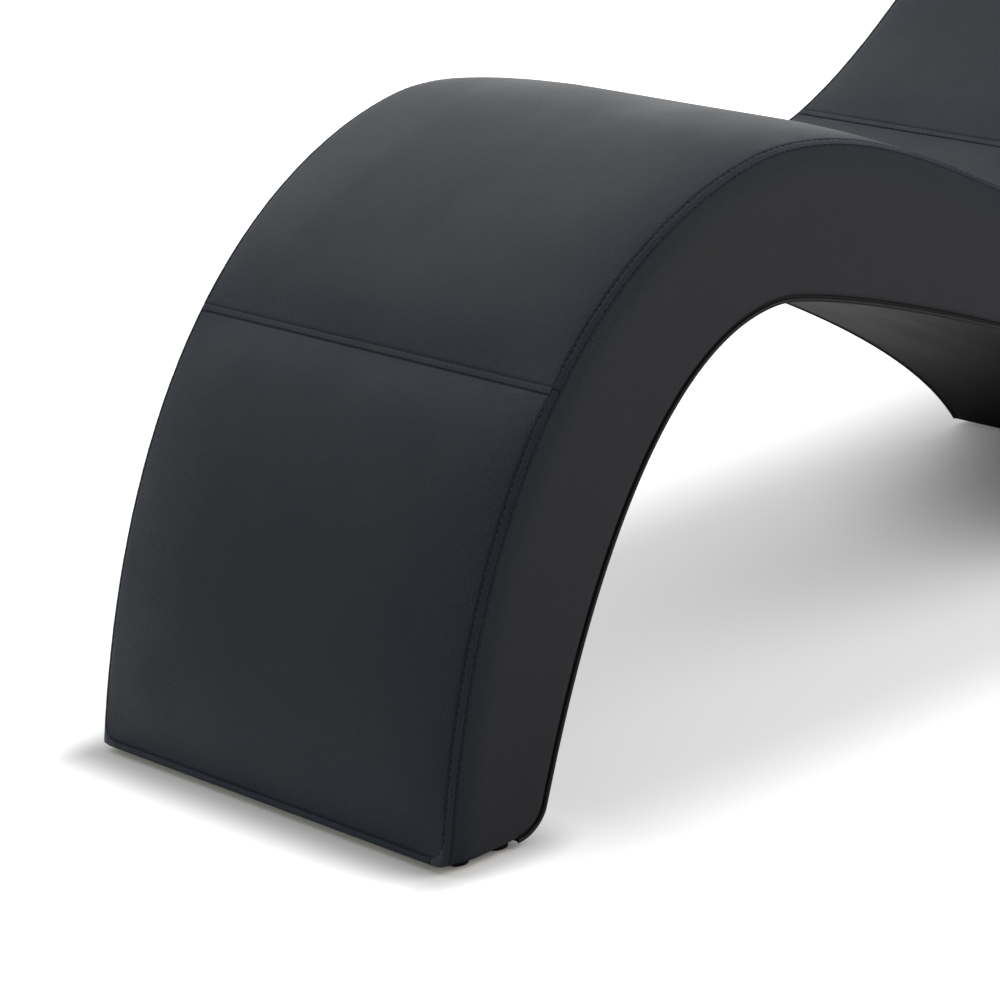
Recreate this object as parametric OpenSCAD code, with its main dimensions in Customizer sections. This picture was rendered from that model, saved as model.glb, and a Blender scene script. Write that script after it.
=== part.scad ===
// Spa relaxation lounger shaped as one wave: leg, knee arch, seat base and leaning back.
// X runs from the foot end to the head end, Y across the seat, Z up from the floor.
// Plywood ribs and rails carry bent decks, foam pads and coated fabric covers.

// Piece to draw, or all of them

/* [Side outline] */

// Width over the side covers
body_w = 620; // [560:10:700]
// Height of the shell's lower edge over the floor
base_z = 7; // [6.5:0.5:9]
// Distance from the toe to the top of the knee hump
crest_x = 493; // [470:1:520]
// Height of the knee hump over the floor
crest_z = 564.5; // [550:0.5:590]
// Distance from the toe to the lowest point of the seat
seat_x = 897; // [880:1:920]
// Height of the lowest point of the seat
seat_z = 389.4; // [380:0.2:400]
// Distance from the toe to the upper end of the back
head_x = 1640; // [1600:5:1700]
// Height of the upper end of the back
head_z = 905; // [880:5:940]
// Slope of the back at its upper end
head_slope = 33; // [28:1:38]
// Thickness of the rounded head end
head_t = 130; // [120:2:150]
// Slope of the rear face where it leaves the head end
rear_slope = 40; // [36:1:46]
// Distance from the toe to the rear edge of the seat base
base_rear_x = 1420; // [1390:5:1450]

/* [Leg and arch] */

// Depth of the leg where its rear face meets the corner
leg_t = 107; // [104:0.5:112]
// Radius of the leg's lower rear corner
leg_corner_r = 25; // [22:1:26]
// Distance from the toe to the top of the arch
arch_x = 469; // [460:1:490]
// Height of the top of the arch
arch_z = 419.8; // [405:0.2:425]
// Distance from the toe to the front edge of the seat base
arch_end_x = 1136; // [1120:1:1160]

/* [Covers and seams] */

// Thickness of the coated fabric cover with its backing
cover_t = 1.5; // [1.2:0.1:2]
// Width of each topstitched seam band
band_w = 11; // [9:0.5:13]
// Height of a seam band over the cover
band_t = 1.4; // [1:0.1:2]
// Height of the hem band along the toe
hem_w = 10; // [8:0.5:12]
// Rise of a padded panel over its seams at mid width
crown_h = 10; // [7:0.5:14]
// Distance from a cross seam over which a panel rises
roll_l = 90; // [70:5:110]
// Radius of the piping cord
piping_r = 2.2; // [1.8:0.1:2.8]
// How far the piping stands proud of the covers
piping_proud = 1.2; // [0.8:0.1:1.6]
// Clearance round the piping
piping_gap = 0.3; // [0.2:0.05:0.5]

/* [Padding] */

// Foam depth under the top covers
foam_t = 35; // [30:1:40]
// Foam depth at the toe
toe_foam_t = 10; // [8:1:14]
// Foam depth under the side covers
side_foam_t = 8; // [6:0.5:10]

/* [Frame] */

// Thickness of the ribs and base boards
ply_t = 18; // [15:1:21]
// Thickness of the bent decks
deck_t = 6; // [5:0.5:7]
// Thickness of the bent boards that line the arch and the rear
lining_t = 4; // [3:0.5:5]
// Width of a cross rail
rail_w = 40; // [34:1:44]
// Depth of a cross rail
rail_t = 26; // [22:1:28]
// Clearance between a straight rail and the bent board over it
rail_gap = 1.2; // [1:0.1:1.6]
// Clearance at each side of a rail in its notch
notch_gap = 0.3; // [0.2:0.05:0.5]
// Clearance at the front and rear of a base board
board_gap = 2; // [1.5:0.5:4]

/* [Screws] */

// Shank radius of a frame screw
screw_r = 2.5; // [2:0.1:3]
// Length of a frame screw under its head
screw_l = 50; // [42:1:56]
// Head radius of a frame screw
screw_head_r = 5; // [4.5:0.1:6]
// Head height of a frame screw
screw_head_t = 3; // [2.5:0.1:4]
// Clearance round a screw in its hole
screw_gap = 0.3; // [0.2:0.05:0.5]

/* [Glides] */

// Radius of a glide
glide_r = 10; // [9:0.5:11]
// Radius of the worn edge round a glide's foot
glide_edge = 1.2; // [0.8:0.1:1.6]
// Thickness of the dust covers
dust_t = 1; // [0.8:0.1:1.5]
// Inset of the dust covers from the shell's edges
dust_inset = 12; // [9:1:16]
// Distance from the side covers to a glide's centre
glide_y_in = 23; // [21.5:0.5:24]
// Distance from the toe to the front glides
toe_glide_x = 28; // [27:0.5:30]
// Distance from the toe to the rear glides of the leg
heel_glide_x = 73; // [72:0.5:75]
// Distance from the edges of the seat base to its glides
base_glide_in = 24; // [20:1:34]
// Shank radius of a glide screw
pin_r = 2; // [1.6:0.1:2.4]
// Length of a glide screw under its head
pin_l = 20; // [16:1:22]
// Head radius of a glide screw
pin_head_r = 4.5; // [4:0.1:5]
// Head height of a glide screw
pin_head_t = 2; // [1.5:0.1:2.5]
// Depth of the recess for the head in a glide
pin_recess = 3; // [2.8:0.1:3.6]

/* [Hidden] */

$fn = 48;
// Names of the pieces

// Shares of the toe to hump span for the two handles of the leg's front curve
leg_shares = [[0.288, 0.9575], [0.937, 1]];
// Shares of the hump to seat span for the handles of the knee curve
knee_shares = [0.427, 0.248];
// Shares of the seat to head span for the handles of the back curve
back_shares = [0.268, 0.35];
// Handle length of the rounded head end as a share of its thickness
head_share = 0.66;
// Shares of the rear face's height for its upper and lower handles
rear_shares = [0.42, 0.4];
// Offset of the lower rear handle as a share of the base's depth
rear_lean_share = 0.05;
// Handles of the arch towards the seat base as shares of its span and height
arch_rear_shares = [[0.121, 0.431], [0.114, 0]];
// Handles of the arch towards the leg as shares of its span and height
arch_leg_shares = [[0.496, 0], [0.07, 0.125]];
// Share of the corner radius that its handles take
round_share = 0.55;
// Place of the shin seam along the leg's front curve
shin_split_share = 0.3655;
// Place of the seat seam along the back curve
seat_split_share = 0.128;
// Places across the half width where the crown is measured
across_shares = [0.45, 0.74, 0.92];
// Powers that round the crown across the width
crown_powers = [3.5, 0.6];
// Places of the frame screws across a rail's width
screw_share = 0.27;
// Share of the board depth where its screws sit
board_screw_share = 0.3;

// Steps along each stretch of the top
shin_n = 10;
crest_n = 8;
knee_n = 12;
dip_n = 3;
back_n = 13;
head_n = 7;
// Steps along the rear face and the arch
rear_n = 22;
arch_rear_n = 18;
arch_leg_n = 14;
corner_n = 5;
// Steps near the floor over which the layers turn level
blend_n = 4;
// Sides of the piping cord
piping_sides = 10;

// Point on a cubic curve with four control points
function bez(p, t) = let (u = 1 - t)
    p[0] * u * u * u + p[1] * 3 * u * u * t + p[2] * 3 * u * t * t + p[3] * t * t * t;
// Rate of travel along the curve
function bez_rate(p, t) = let (u = 1 - t)
    ((p[1] - p[0]) * u * u + (p[2] - p[1]) * 2 * u * t + (p[3] - p[2]) * t * t) * 3;
// Unit direction of travel along the curve
function bez_dir(p, t) = let (d = bez_rate(p, t)) d / norm(d);
// Change of the curve's own measure that covers a short distance
function t_step(p, t, d) = d / norm(bez_rate(p, t));
// Points with their directions along part of a curve
function run(p, t0, t1, n, first = 1) = [
    for (i = [first:n]) let (t = t0 + (t1 - t0) * i / n) [bez(p, t), bez_dir(p, t)]
];
// Inward direction of the layers, turned level where w is one
function inward(s, w) = let (t = s[1], n = [t[1], -t[0]]) w > 0 ? n + t * (t[0] / t[1]) * w : n;
// Each point with the inward direction of its layers and its direction of travel
function field(s, level_start, level_end) = let (n = len(s) - 1) [
    for (i = [0:n]) let (
        a = level_start ? max(0, 1 - i / blend_n) : 0,
        b = level_end ? max(0, 1 - (n - i) / blend_n) : 0
    ) [s[i][0], inward(s[i], max(a, b)), s[i][1]]
];
// Point at a depth d under the outline
function off(s, d) = s[0] + s[1] * d;
// Length along the outline up to station i
function arc(s, i) = i == 0 ? 0 : arc(s, i - 1) + norm(s[i][0] - s[i - 1][0]);

toe = [0, base_z];
crest = [crest_x, crest_z];
seat = [seat_x, seat_z];
head = [head_x, head_z];
head_dir = [cos(head_slope), sin(head_slope)];
tail = head + [sin(head_slope), -cos(head_slope)] * head_t;
tail_dir = [cos(rear_slope), sin(rear_slope)];
rear_h = tail[1] - base_z;
arch_top = [arch_x, arch_z];
arch_span = arch_end_x - arch_x;
arch_h = arch_z - base_z;
leg_span = arch_x - leg_t;
leg_lean = [leg_span * arch_leg_shares[1][0], arch_h * arch_leg_shares[1][1]];
leg_corner = [leg_t, base_z];
heel = leg_corner + leg_lean / norm(leg_lean) * leg_corner_r;
sole = leg_corner - [leg_corner_r, 0];

leg_curve = [
    toe,
    toe + [crest_x * leg_shares[0][0], (crest_z - base_z) * leg_shares[0][1]],
    toe + [crest_x * leg_shares[1][0], (crest_z - base_z) * leg_shares[1][1]],
    crest
];
knee_curve = [
    crest,
    crest + [(seat_x - crest_x) * knee_shares[0], 0],
    seat - [(seat_x - crest_x) * knee_shares[1], 0],
    seat
];
back_curve = [
    seat,
    seat + [(head_x - seat_x) * back_shares[0], 0],
    head - head_dir * (head_x - seat_x) * back_shares[1],
    head
];
head_curve = [head, head + head_dir * head_t * head_share, tail + tail_dir * head_t * head_share, tail];
rear_curve = [
    tail,
    tail - tail_dir * rear_h * rear_shares[0],
    [base_rear_x - (base_rear_x - arch_end_x) * rear_lean_share, base_z + rear_h * rear_shares[1]],
    [base_rear_x, base_z]
];
arch_rear_curve = [
    [arch_end_x, base_z],
    [arch_end_x - arch_span * arch_rear_shares[0][0], base_z + arch_h * arch_rear_shares[0][1]],
    arch_top + [arch_span * arch_rear_shares[1][0], 0],
    arch_top
];
arch_leg_curve = [
    arch_top,
    arch_top - [leg_span * arch_leg_shares[0][0], 0],
    heel + leg_lean,
    heel
];
corner_curve = [
    heel,
    heel + (leg_corner - heel) * round_share,
    sole + (leg_corner - sole) * round_share,
    sole
];

hem_t = t_step(leg_curve, 0, hem_w);
shin_t = shin_split_share;
shin_dt = t_step(leg_curve, shin_t, band_w / 2);
seat_t = seat_split_share;
seat_dt = t_step(back_curve, seat_t, band_w / 2);
end_dt = t_step(head_curve, 1, band_w);

top_s = field(concat(
    run(leg_curve, 0, hem_t, 1, 0),
    run(leg_curve, hem_t, shin_t - shin_dt, shin_n),
    run(leg_curve, shin_t - shin_dt, shin_t, 1),
    run(leg_curve, shin_t, shin_t + shin_dt, 1),
    run(leg_curve, shin_t + shin_dt, 1, crest_n),
    run(knee_curve, 0, 1, knee_n),
    run(back_curve, 0, seat_t - seat_dt, dip_n),
    run(back_curve, seat_t - seat_dt, seat_t, 1),
    run(back_curve, seat_t, seat_t + seat_dt, 1),
    run(back_curve, seat_t + seat_dt, 1, back_n),
    run(head_curve, 0, 1 - end_dt, head_n),
    run(head_curve, 1 - end_dt, 1, 1)
), true, false);
rear_s = field(run(rear_curve, 0, 1, rear_n, 0), false, true);
arch_s = field(concat(
    run(arch_rear_curve, 0, 1, arch_rear_n, 0),
    run(arch_leg_curve, 0, 1, arch_leg_n),
    run(corner_curve, 0, 1, corner_n)
), true, false);

// Stations of the seams and ends along the top
i_hem = 1;
i_shin = i_hem + shin_n + 1;
i_crest = i_shin + 1 + crest_n;
i_low = i_crest + knee_n;
i_seat = i_low + dip_n + 1;
i_head = i_seat + 1 + back_n;
i_end = len(top_s) - 1;
i_rear = len(rear_s) - 1;
i_arch = arch_rear_n;
i_sole = len(arch_s) - 1;
sole_x = arch_s[i_sole][0][0];

side_t = cover_t + side_foam_t;
half_w = body_w / 2;
core_w = body_w - 2 * side_t;
rail_l = core_w - 2 * ply_t;
band_y = half_w - band_w;
lining_in = cover_t + lining_t;
piping_in = 2 * piping_r - piping_proud + piping_gap;

// Depth of the foam's lower face at station i, growing from the toe to the shin seam
function pad_off(i) = let (q = min(1, i / i_shin), k = q * q * (3 - 2 * q))
    cover_t + toe_foam_t + (foam_t - toe_foam_t) * k;
// Depth of the ribs' upper edge at station i
function rib_off(i) = pad_off(i) + deck_t;
// Rise of a panel at a distance from its nearest cross seam
function rise(d) = let (q = max(0, min(1, d / roll_l))) 2 * q - q * q;
// Height of the crown between stations i0 and i1, clear of the seam margins m0 and m1
function crown(i, i0, i1, m0, m1) = let (
    a = arc(top_s, i) - arc(top_s, i0) - m0,
    b = arc(top_s, i1) - arc(top_s, i) - m1
) crown_h * rise(a) * rise(b);
// Share of the crown at a share v of the half width
function bow(v) = abs(v) >= 1 ? 0 : pow(1 - pow(abs(v), crown_powers[0]), crown_powers[1]);
// Places across the width, from one edge to the other
function across(edge) = let (k = len(across_shares)) concat(
    [-edge, -band_y],
    [for (j = [k - 1:-1:0]) -across_shares[j] * band_y],
    [0],
    [for (j = [0:k - 1]) across_shares[j] * band_y],
    [band_y, edge]
);

shin_rise = [for (i = [0:i_shin]) crown(i, 0, i_shin, hem_w, band_w / 2)];
back_rise = [for (i = [i_seat:i_end]) crown(i, i_seat, i_end, band_w / 2, band_w)];
// Furthest points of the covers and bands at the toe and the head end
ends = concat(
    [for (i = [0:i_shin]) off(top_s[i], -max(band_t, shin_rise[i]))[0]],
    [for (i = [i_seat:i_end]) off(top_s[i], -max(band_t, back_rise[i - i_seat]))[0]]
);
x_mid = (min(ends) + max(ends)) / 2;

// Move a piece from the toe's frame to the middle of the lounger
module centred() {
    translate([-x_mid, 0, 0]) children();
}

// Side outline in X and Z drawn w wide across Y from y0
module across_y(y0, w) {
    translate([0, y0 + w, 0]) rotate([90, 0, 0]) linear_extrude(w) children();
}

// Bent layer between two depths from station i0 to i1
module layer(s, i0, i1, upper, lower) {
    polygon(concat(
        [for (i = [i0:i1]) off(s[i], upper)],
        [for (i = [i1:-1:i0]) off(s[i], lower)]
    ));
}

// Faces of a closed sheet whose points form two grids of n by m, outer first
function sheet_faces(n, m) = let (k = n * m) concat(
    [for (i = [0:n - 2]) for (j = [0:m - 2]) let (a = i * m + j) [a, a + m + 1, a + m]],
    [for (i = [0:n - 2]) for (j = [0:m - 2]) let (a = i * m + j) [a, a + 1, a + m + 1]],
    [for (i = [0:n - 2]) for (j = [0:m - 2]) let (a = i * m + j + k) [a, a + m, a + m + 1]],
    [for (i = [0:n - 2]) for (j = [0:m - 2]) let (a = i * m + j + k) [a, a + m + 1, a + 1]],
    [for (i = [0:n - 2]) let (a = i * m) [a, a + m, a + m + k, a + k]],
    [for (i = [0:n - 2]) let (a = i * m + m - 1) [a + m, a, a + k, a + m + k]],
    [for (j = [0:m - 2]) [j + 1, j, j + k, j + 1 + k]],
    [for (j = [0:m - 2]) let (a = (n - 1) * m + j) [a, a + 1, a + 1 + k, a + k]]
);

// Crowned sheet over stations i0 to i1, from depth d0 to the depths given, w wide at most
module crowned(i0, i1, m0, m1, edge, d0, lower, bowed) {
    ys = across(edge);
    heights = [for (i = [i0:i1]) crown(i, i0, i1, m0, m1)];
    upper_pts = [
        for (i = [i0:i1]) for (y = ys)
            let (p = off(top_s[i], d0 - heights[i - i0] * bow(y / band_y))) [p[0], y, p[1]]
    ];
    lower_pts = [
        for (i = [i0:i1]) for (y = ys)
            let (p = off(top_s[i], lower[i - i0] - bowed * heights[i - i0] * bow(y / band_y)))
            [p[0], y, p[1]]
    ];
    polyhedron(points = concat(upper_pts, lower_pts), faces = sheet_faces(i1 - i0 + 1, len(ys)));
}

// Cover panel between stations i0 and i1
module cover(i0, i1, m0, m1) {
    crowned(i0, i1, m0, m1, half_w, 0, [for (i = [i0:i1]) cover_t], 1);
}

// Foam pad between stations i0 and i1
module foam(i0, i1, m0, m1) {
    crowned(i0, i1, m0, m1, half_w - side_t, cover_t, [for (i = [i0:i1]) pad_off(i)], 0);
}

// Bent deck between stations i0 and i1
module deck(i0, i1) {
    across_y(-core_w / 2, core_w) polygon(concat(
        [for (i = [i0:i1]) off(top_s[i], pad_off(i))],
        [for (i = [i1:-1:i0]) off(top_s[i], rib_off(i))]
    ));
}

// Outline shared by the side foam and the side cover
module side_shape() {
    polygon(concat(
        [for (i = [0:i_end]) off(top_s[i], cover_t)],
        [for (i = [0:i_rear]) off(rear_s[i], piping_in)],
        [for (i = [0:i_sole]) off(arch_s[i], piping_in)],
        [[sole_x, base_z]]
    ));
}

// Outline of a rib
module rib_shape() {
    polygon(concat(
        [for (i = [0:i_head]) off(top_s[i], rib_off(i))],
        [off(top_s[i_end], rib_off(i_end))],
        [for (i = [0:i_rear]) off(rear_s[i], lining_in)],
        [for (i = [0:i_sole]) off(arch_s[i], lining_in)],
        [[sole_x, base_z]]
    ));
}

// Stations and outlines that carry the rails under the top
top_rails = [
    i_shin - 4, i_shin + 4, i_crest + 1, i_crest + 6, i_low - 1, i_seat + 3, i_seat + 7, i_head - 2
];
// Stations that carry the rails of the arch
arch_rails = [7, i_arch - 2, i_arch + 8];
// Station that carries the rail of the rear face
rear_rail = 8;
// Centre and slope of each rail, the ones under the top first
function rail_place(s, i, d) = let (p = off(s[i], d), t = s[i][2]) [p[0], p[1], atan2(t[1], t[0])];
rails = concat(
    [for (i = top_rails) rail_place(top_s, i, rib_off(i) + rail_gap + rail_t / 2)],
    [for (i = arch_rails) rail_place(arch_s, i, lining_in + rail_gap + rail_t / 2)],
    [rail_place(rear_s, rear_rail, lining_in + rail_gap + rail_t / 2)]
);

// Axis at a rail's centre, turned along its slope
module at_rail(r) {
    translate([r[0], 0, r[1]]) rotate([0, -r[2], 0]) children();
}

foot_x0 = rib_off(0) + board_gap + ply_t * leg_shares[0][0] / leg_shares[0][1] * crest_x / crest_z;
foot_x1 = sole_x;
base_x0 = arch_end_x + lining_in + board_gap;
base_x1 = base_rear_x - lining_in - board_gap;
foot_span = foot_x1 - foot_x0;
base_span = base_x1 - base_x0;
screw_z = base_z + ply_t / 2;
// Screw places in X and Z
screws = concat(
    [
        for (r = rails) for (k = [-1, 1])
            [r[0] + k * cos(r[2]) * rail_w * screw_share, r[1] + k * sin(r[2]) * rail_w * screw_share]
    ],
    [for (k = [board_screw_share, 1 - board_screw_share]) [foot_x0 + foot_span * k, screw_z]],
    [for (k = [board_screw_share, 1 - board_screw_share]) [base_x0 + base_span * k, screw_z]]
);

// Rod along Y from y0, towards the middle where side is one, outward where it is minus one
module rod(x, z, y0, l, r) {
    translate([x, y0, z]) rotate([-90, 0, 0]) cylinder(h = l, r = r);
}

// Frame screws of one side
module screw_row(side) {
    y_rib = side * core_w / 2;
    for (s = screws) {
        rod(s[0], s[1], side > 0 ? y_rib - screw_head_t : y_rib, screw_head_t, screw_head_r);
        rod(s[0], s[1], side > 0 ? y_rib - screw_head_t - screw_l : y_rib + screw_head_t, screw_l, screw_r);
    }
}

// Holes for the frame screws of one side
module screw_holes(side, through) {
    y_rib = side * core_w / 2;
    l = screw_head_t + screw_l + screw_gap;
    for (s = screws) {
        rod(s[0], s[1], side > 0 ? y_rib - l : y_rib, l, screw_r + screw_gap);
        if (through) {
            rod(s[0], s[1], side > 0 ? y_rib - screw_head_t : y_rib, screw_head_t, screw_head_r + screw_gap);
        }
    }
}

// Side rib with the holes for frame and glide screws
module side_rib(side) {
    centred() difference() {
        across_y(side > 0 ? core_w / 2 - ply_t : -core_w / 2, ply_t) rib_shape();
        screw_holes(side, true);
        for (x = glide_xs) {
            translate([x, side * glide_y, base_z]) cylinder(h = pin_up, r = pin_r + screw_gap);
        }
    }
}

// Rail number k with its screw holes
module rail(k) {
    centred() difference() {
        at_rail(rails[k]) cube([rail_w, rail_l, rail_t], center = true);
        screw_holes(-1, false);
        screw_holes(1, false);
    }
}

// Base board from x0 to x1 with its screw holes
module base_board(x0, x1) {
    centred() difference() {
        translate([x0, -rail_l / 2, base_z]) cube([x1 - x0, rail_l, ply_t]);
        screw_holes(-1, false);
        screw_holes(1, false);
    }
}

glide_y = half_w - glide_y_in;
glide_h = base_z - dust_t;
pin_up = pin_l - (base_z - pin_recess) + screw_gap;
front_glide_x = arch_end_x + base_glide_in;
rear_glide_x = base_rear_x - base_glide_in;
glide_xs = [toe_glide_x, heel_glide_x, front_glide_x, rear_glide_x];

// Glide with a recess for its screw
module glide(x, side) {
    centred() translate([x, side * glide_y, 0]) rotate_extrude() polygon([
        [pin_r + screw_gap, pin_recess],
        [pin_head_r + screw_gap, pin_recess],
        [pin_head_r + screw_gap, 0],
        [glide_r - glide_edge, 0],
        [glide_r, glide_edge],
        [glide_r, glide_h],
        [pin_r + screw_gap, glide_h]
    ]);
}

// Screw of one glide
module glide_screw(x, side) {
    translate([x, side * glide_y, pin_recess]) {
        cylinder(h = pin_l, r = pin_r);
        translate([0, 0, -pin_head_t]) cylinder(h = pin_head_t, r = pin_head_r);
    }
}

// Dust cover from x0 to x1 with holes for the glide screws
module dust_cover(x0, x1, glides) {
    centred() difference() {
        translate([x0, dust_inset - half_w, glide_h]) cube([x1 - x0, body_w - 2 * dust_inset, dust_t]);
        for (x = glides) for (side = [-1, 1]) {
            translate([x, side * glide_y, glide_h]) cylinder(h = dust_t, r = pin_r + screw_gap);
        }
    }
}

// Piping cord along an outline at one side
module piping(s, side) {
    n = len(s);
    m = piping_sides;
    y0 = side * (half_w + piping_proud - piping_r);
    d0 = piping_r - piping_proud;
    pts = [
        for (i = [0:n - 1]) for (j = [0:m - 1])
            let (a = 360 * j / m, p = off(s[i], d0 - piping_r * cos(a)))
            [p[0], y0 + piping_r * sin(a), p[1]]
    ];
    walls = [
        for (i = [0:n - 2]) for (j = [0:m - 1])
            let (a = i * m + j, b = i * m + (j + 1) % m) each [[a, b, b + m], [a, b + m, a + m]]
    ];
    caps = [[for (j = [m - 1:-1:0]) j], [for (j = [0:m - 1]) (n - 1) * m + j]];
    centred() polyhedron(points = pts, faces = concat(walls, caps));
}

module rib_left() { color("BurlyWood") side_rib(-1); }
module rib_right() { color("BurlyWood") side_rib(1); }

module rib_centre() {
    color("BurlyWood") centred() difference() {
        across_y(-ply_t / 2, ply_t) rib_shape();
        for (k = [0:len(rails) - 1]) {
            at_rail(rails[k]) translate([0, 0, rail_t / 2])
                cube([rail_w + 2 * notch_gap, 2 * ply_t, 2 * rail_t], center = true);
        }
        translate([0, -ply_t, 0]) cube([foot_x1 + board_gap, 2 * ply_t, base_z + ply_t]);
        translate([arch_end_x, -ply_t, 0]) cube([base_rear_x - arch_end_x, 2 * ply_t, base_z + ply_t]);
    }
}

module rail_shin() { color("Tan") rail(0); }
module rail_knee() { color("Tan") rail(1); }
module rail_crest() { color("Tan") rail(2); }
module rail_thigh() { color("Tan") rail(3); }
module rail_seat() { color("Tan") rail(4); }
module rail_lumbar() { color("Tan") rail(5); }
module rail_back() { color("Tan") rail(6); }
module rail_shoulder() { color("Tan") rail(7); }
module rail_arch_rear() { color("Tan") rail(8); }
module rail_arch_top() { color("Tan") rail(9); }
module rail_arch_front() { color("Tan") rail(10); }
module rail_rear() { color("Tan") rail(11); }
module foot_board() { color("BurlyWood") base_board(foot_x0, foot_x1); }
module seat_board() { color("BurlyWood") base_board(base_x0, base_x1); }

module head_block() {
    color("Tan") centred() across_y(-core_w / 2, core_w) polygon(concat(
        [for (i = [i_head:i_end]) off(top_s[i], pad_off(i))],
        [off(top_s[i_end], rib_off(i_end)), off(top_s[i_head], rib_off(i_head))]
    ));
}

module deck_shin() { color("Wheat") centred() deck(0, i_shin); }
module deck_knee() { color("Wheat") centred() deck(i_shin, i_low - 5); }
module deck_seat() { color("Wheat") centred() deck(i_low - 5, i_seat); }
module deck_back() { color("Wheat") centred() deck(i_seat, i_head); }
module arch_lining() {
    color("Wheat") centred() across_y(-core_w / 2, core_w) layer(arch_s, 0, i_sole, cover_t, lining_in);
}
module rear_lining() {
    color("Wheat") centred() across_y(-core_w / 2, core_w) layer(rear_s, 0, i_rear, cover_t, lining_in);
}

module foam_shin() { color("Khaki") centred() foam(0, i_shin, hem_w, band_w / 2); }
module foam_seat() { color("Khaki") centred() foam(i_shin, i_seat, band_w / 2, band_w / 2); }
module foam_back() { color("Khaki") centred() foam(i_seat, i_end, band_w / 2, band_w); }
module side_foam_left() { color("Khaki") centred() across_y(cover_t - half_w, side_foam_t) side_shape(); }
module side_foam_right() { color("Khaki") centred() across_y(half_w - side_t, side_foam_t) side_shape(); }

module cover_shin() { color("DimGray") centred() cover(0, i_shin, hem_w, band_w / 2); }
module cover_seat() { color("DimGray") centred() cover(i_shin, i_seat, band_w / 2, band_w / 2); }
module cover_back() { color("DimGray") centred() cover(i_seat, i_end, band_w / 2, band_w); }
module side_cover_left() { color("DimGray") centred() across_y(-half_w, cover_t) side_shape(); }
module side_cover_right() { color("DimGray") centred() across_y(half_w - cover_t, cover_t) side_shape(); }
module arch_cover() {
    color("DimGray") centred() across_y(piping_in - half_w, body_w - 2 * piping_in)
        layer(arch_s, 0, i_sole, 0, cover_t);
}
module rear_cover() {
    color("DimGray") centred() across_y(piping_in - half_w, body_w - 2 * piping_in)
        layer(rear_s, 0, i_rear, 0, cover_t);
}

module edge_band_left() {
    color("SlateGray") centred() across_y(-half_w, band_w) layer(top_s, 0, i_end, -band_t, 0);
}
module edge_band_right() {
    color("SlateGray") centred() across_y(band_y, band_w) layer(top_s, 0, i_end, -band_t, 0);
}
// Band across the seat between two stations
module cross_band(i0, i1) {
    centred() across_y(-band_y, 2 * band_y) layer(top_s, i0, i1, -band_t, 0);
}
module shin_band() { color("SlateGray") cross_band(i_shin - 1, i_shin + 1); }
module seat_band() { color("SlateGray") cross_band(i_seat - 1, i_seat + 1); }
module toe_hem() { color("SlateGray") cross_band(0, i_hem); }
module head_band() { color("SlateGray") cross_band(i_end - 1, i_end); }

module arch_piping_left() { color("Black") piping(arch_s, -1); }
module arch_piping_right() { color("Black") piping(arch_s, 1); }
module rear_piping_left() { color("Black") piping(rear_s, -1); }
module rear_piping_right() { color("Black") piping(rear_s, 1); }

module leg_dust_cover() {
    color("Black") dust_cover(dust_inset, sole_x - piping_in, [toe_glide_x, heel_glide_x]);
}
module base_dust_cover() {
    color("Black")
        dust_cover(arch_end_x + dust_inset, base_rear_x - dust_inset, [front_glide_x, rear_glide_x]);
}

module toe_glide_left() { color("Black") glide(toe_glide_x, -1); }
module toe_glide_right() { color("Black") glide(toe_glide_x, 1); }
module heel_glide_left() { color("Black") glide(heel_glide_x, -1); }
module heel_glide_right() { color("Black") glide(heel_glide_x, 1); }
module front_glide_left() { color("Black") glide(front_glide_x, -1); }
module front_glide_right() { color("Black") glide(front_glide_x, 1); }
module rear_glide_left() { color("Black") glide(rear_glide_x, -1); }
module rear_glide_right() { color("Black") glide(rear_glide_x, 1); }

module glide_screws() {
    color("Silver") centred()
        for (x = glide_xs) for (side = [-1, 1]) {
            glide_screw(x, side);
        }
}
module frame_screws() {
    color("Silver") centred() {
        screw_row(-1);
        screw_row(1);
    }
}

rib_left();
rib_right();
rib_centre();
rail_shin();
rail_knee();
rail_crest();
rail_thigh();
rail_seat();
rail_lumbar();
rail_back();
rail_shoulder();
rail_arch_front();
rail_arch_top();
rail_arch_rear();
rail_rear();
foot_board();
seat_board();
head_block();
deck_shin();
deck_knee();
deck_seat();
deck_back();
arch_lining();
rear_lining();
foam_shin();
foam_seat();
foam_back();
side_foam_left();
side_foam_right();
cover_shin();
cover_seat();
cover_back();
side_cover_left();
side_cover_right();
arch_cover();
rear_cover();
edge_band_left();
edge_band_right();
shin_band();
seat_band();
toe_hem();
head_band();
arch_piping_left();
arch_piping_right();
rear_piping_left();
rear_piping_right();
leg_dust_cover();
base_dust_cover();
toe_glide_left();
toe_glide_right();
heel_glide_left();
heel_glide_right();
front_glide_left();
front_glide_right();
rear_glide_left();
rear_glide_right();
glide_screws();
frame_screws();
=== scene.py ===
# %% [markdown]
# # A spa relaxation lounger, dressed for its portrait
# The real thing is a plywood shell padded with foam and covered in coated fabric.
# The imported CAD model is loaded first and stays the frame: every surface made here is
# laid over it in metres, in the same place. Loading it before anything else also gives
# the boxes of its parts, from which some sizes are read.

# %% Load the frame
import math

import bmesh
import bpy
import numpy as np
from mathutils import Matrix, Vector


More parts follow.
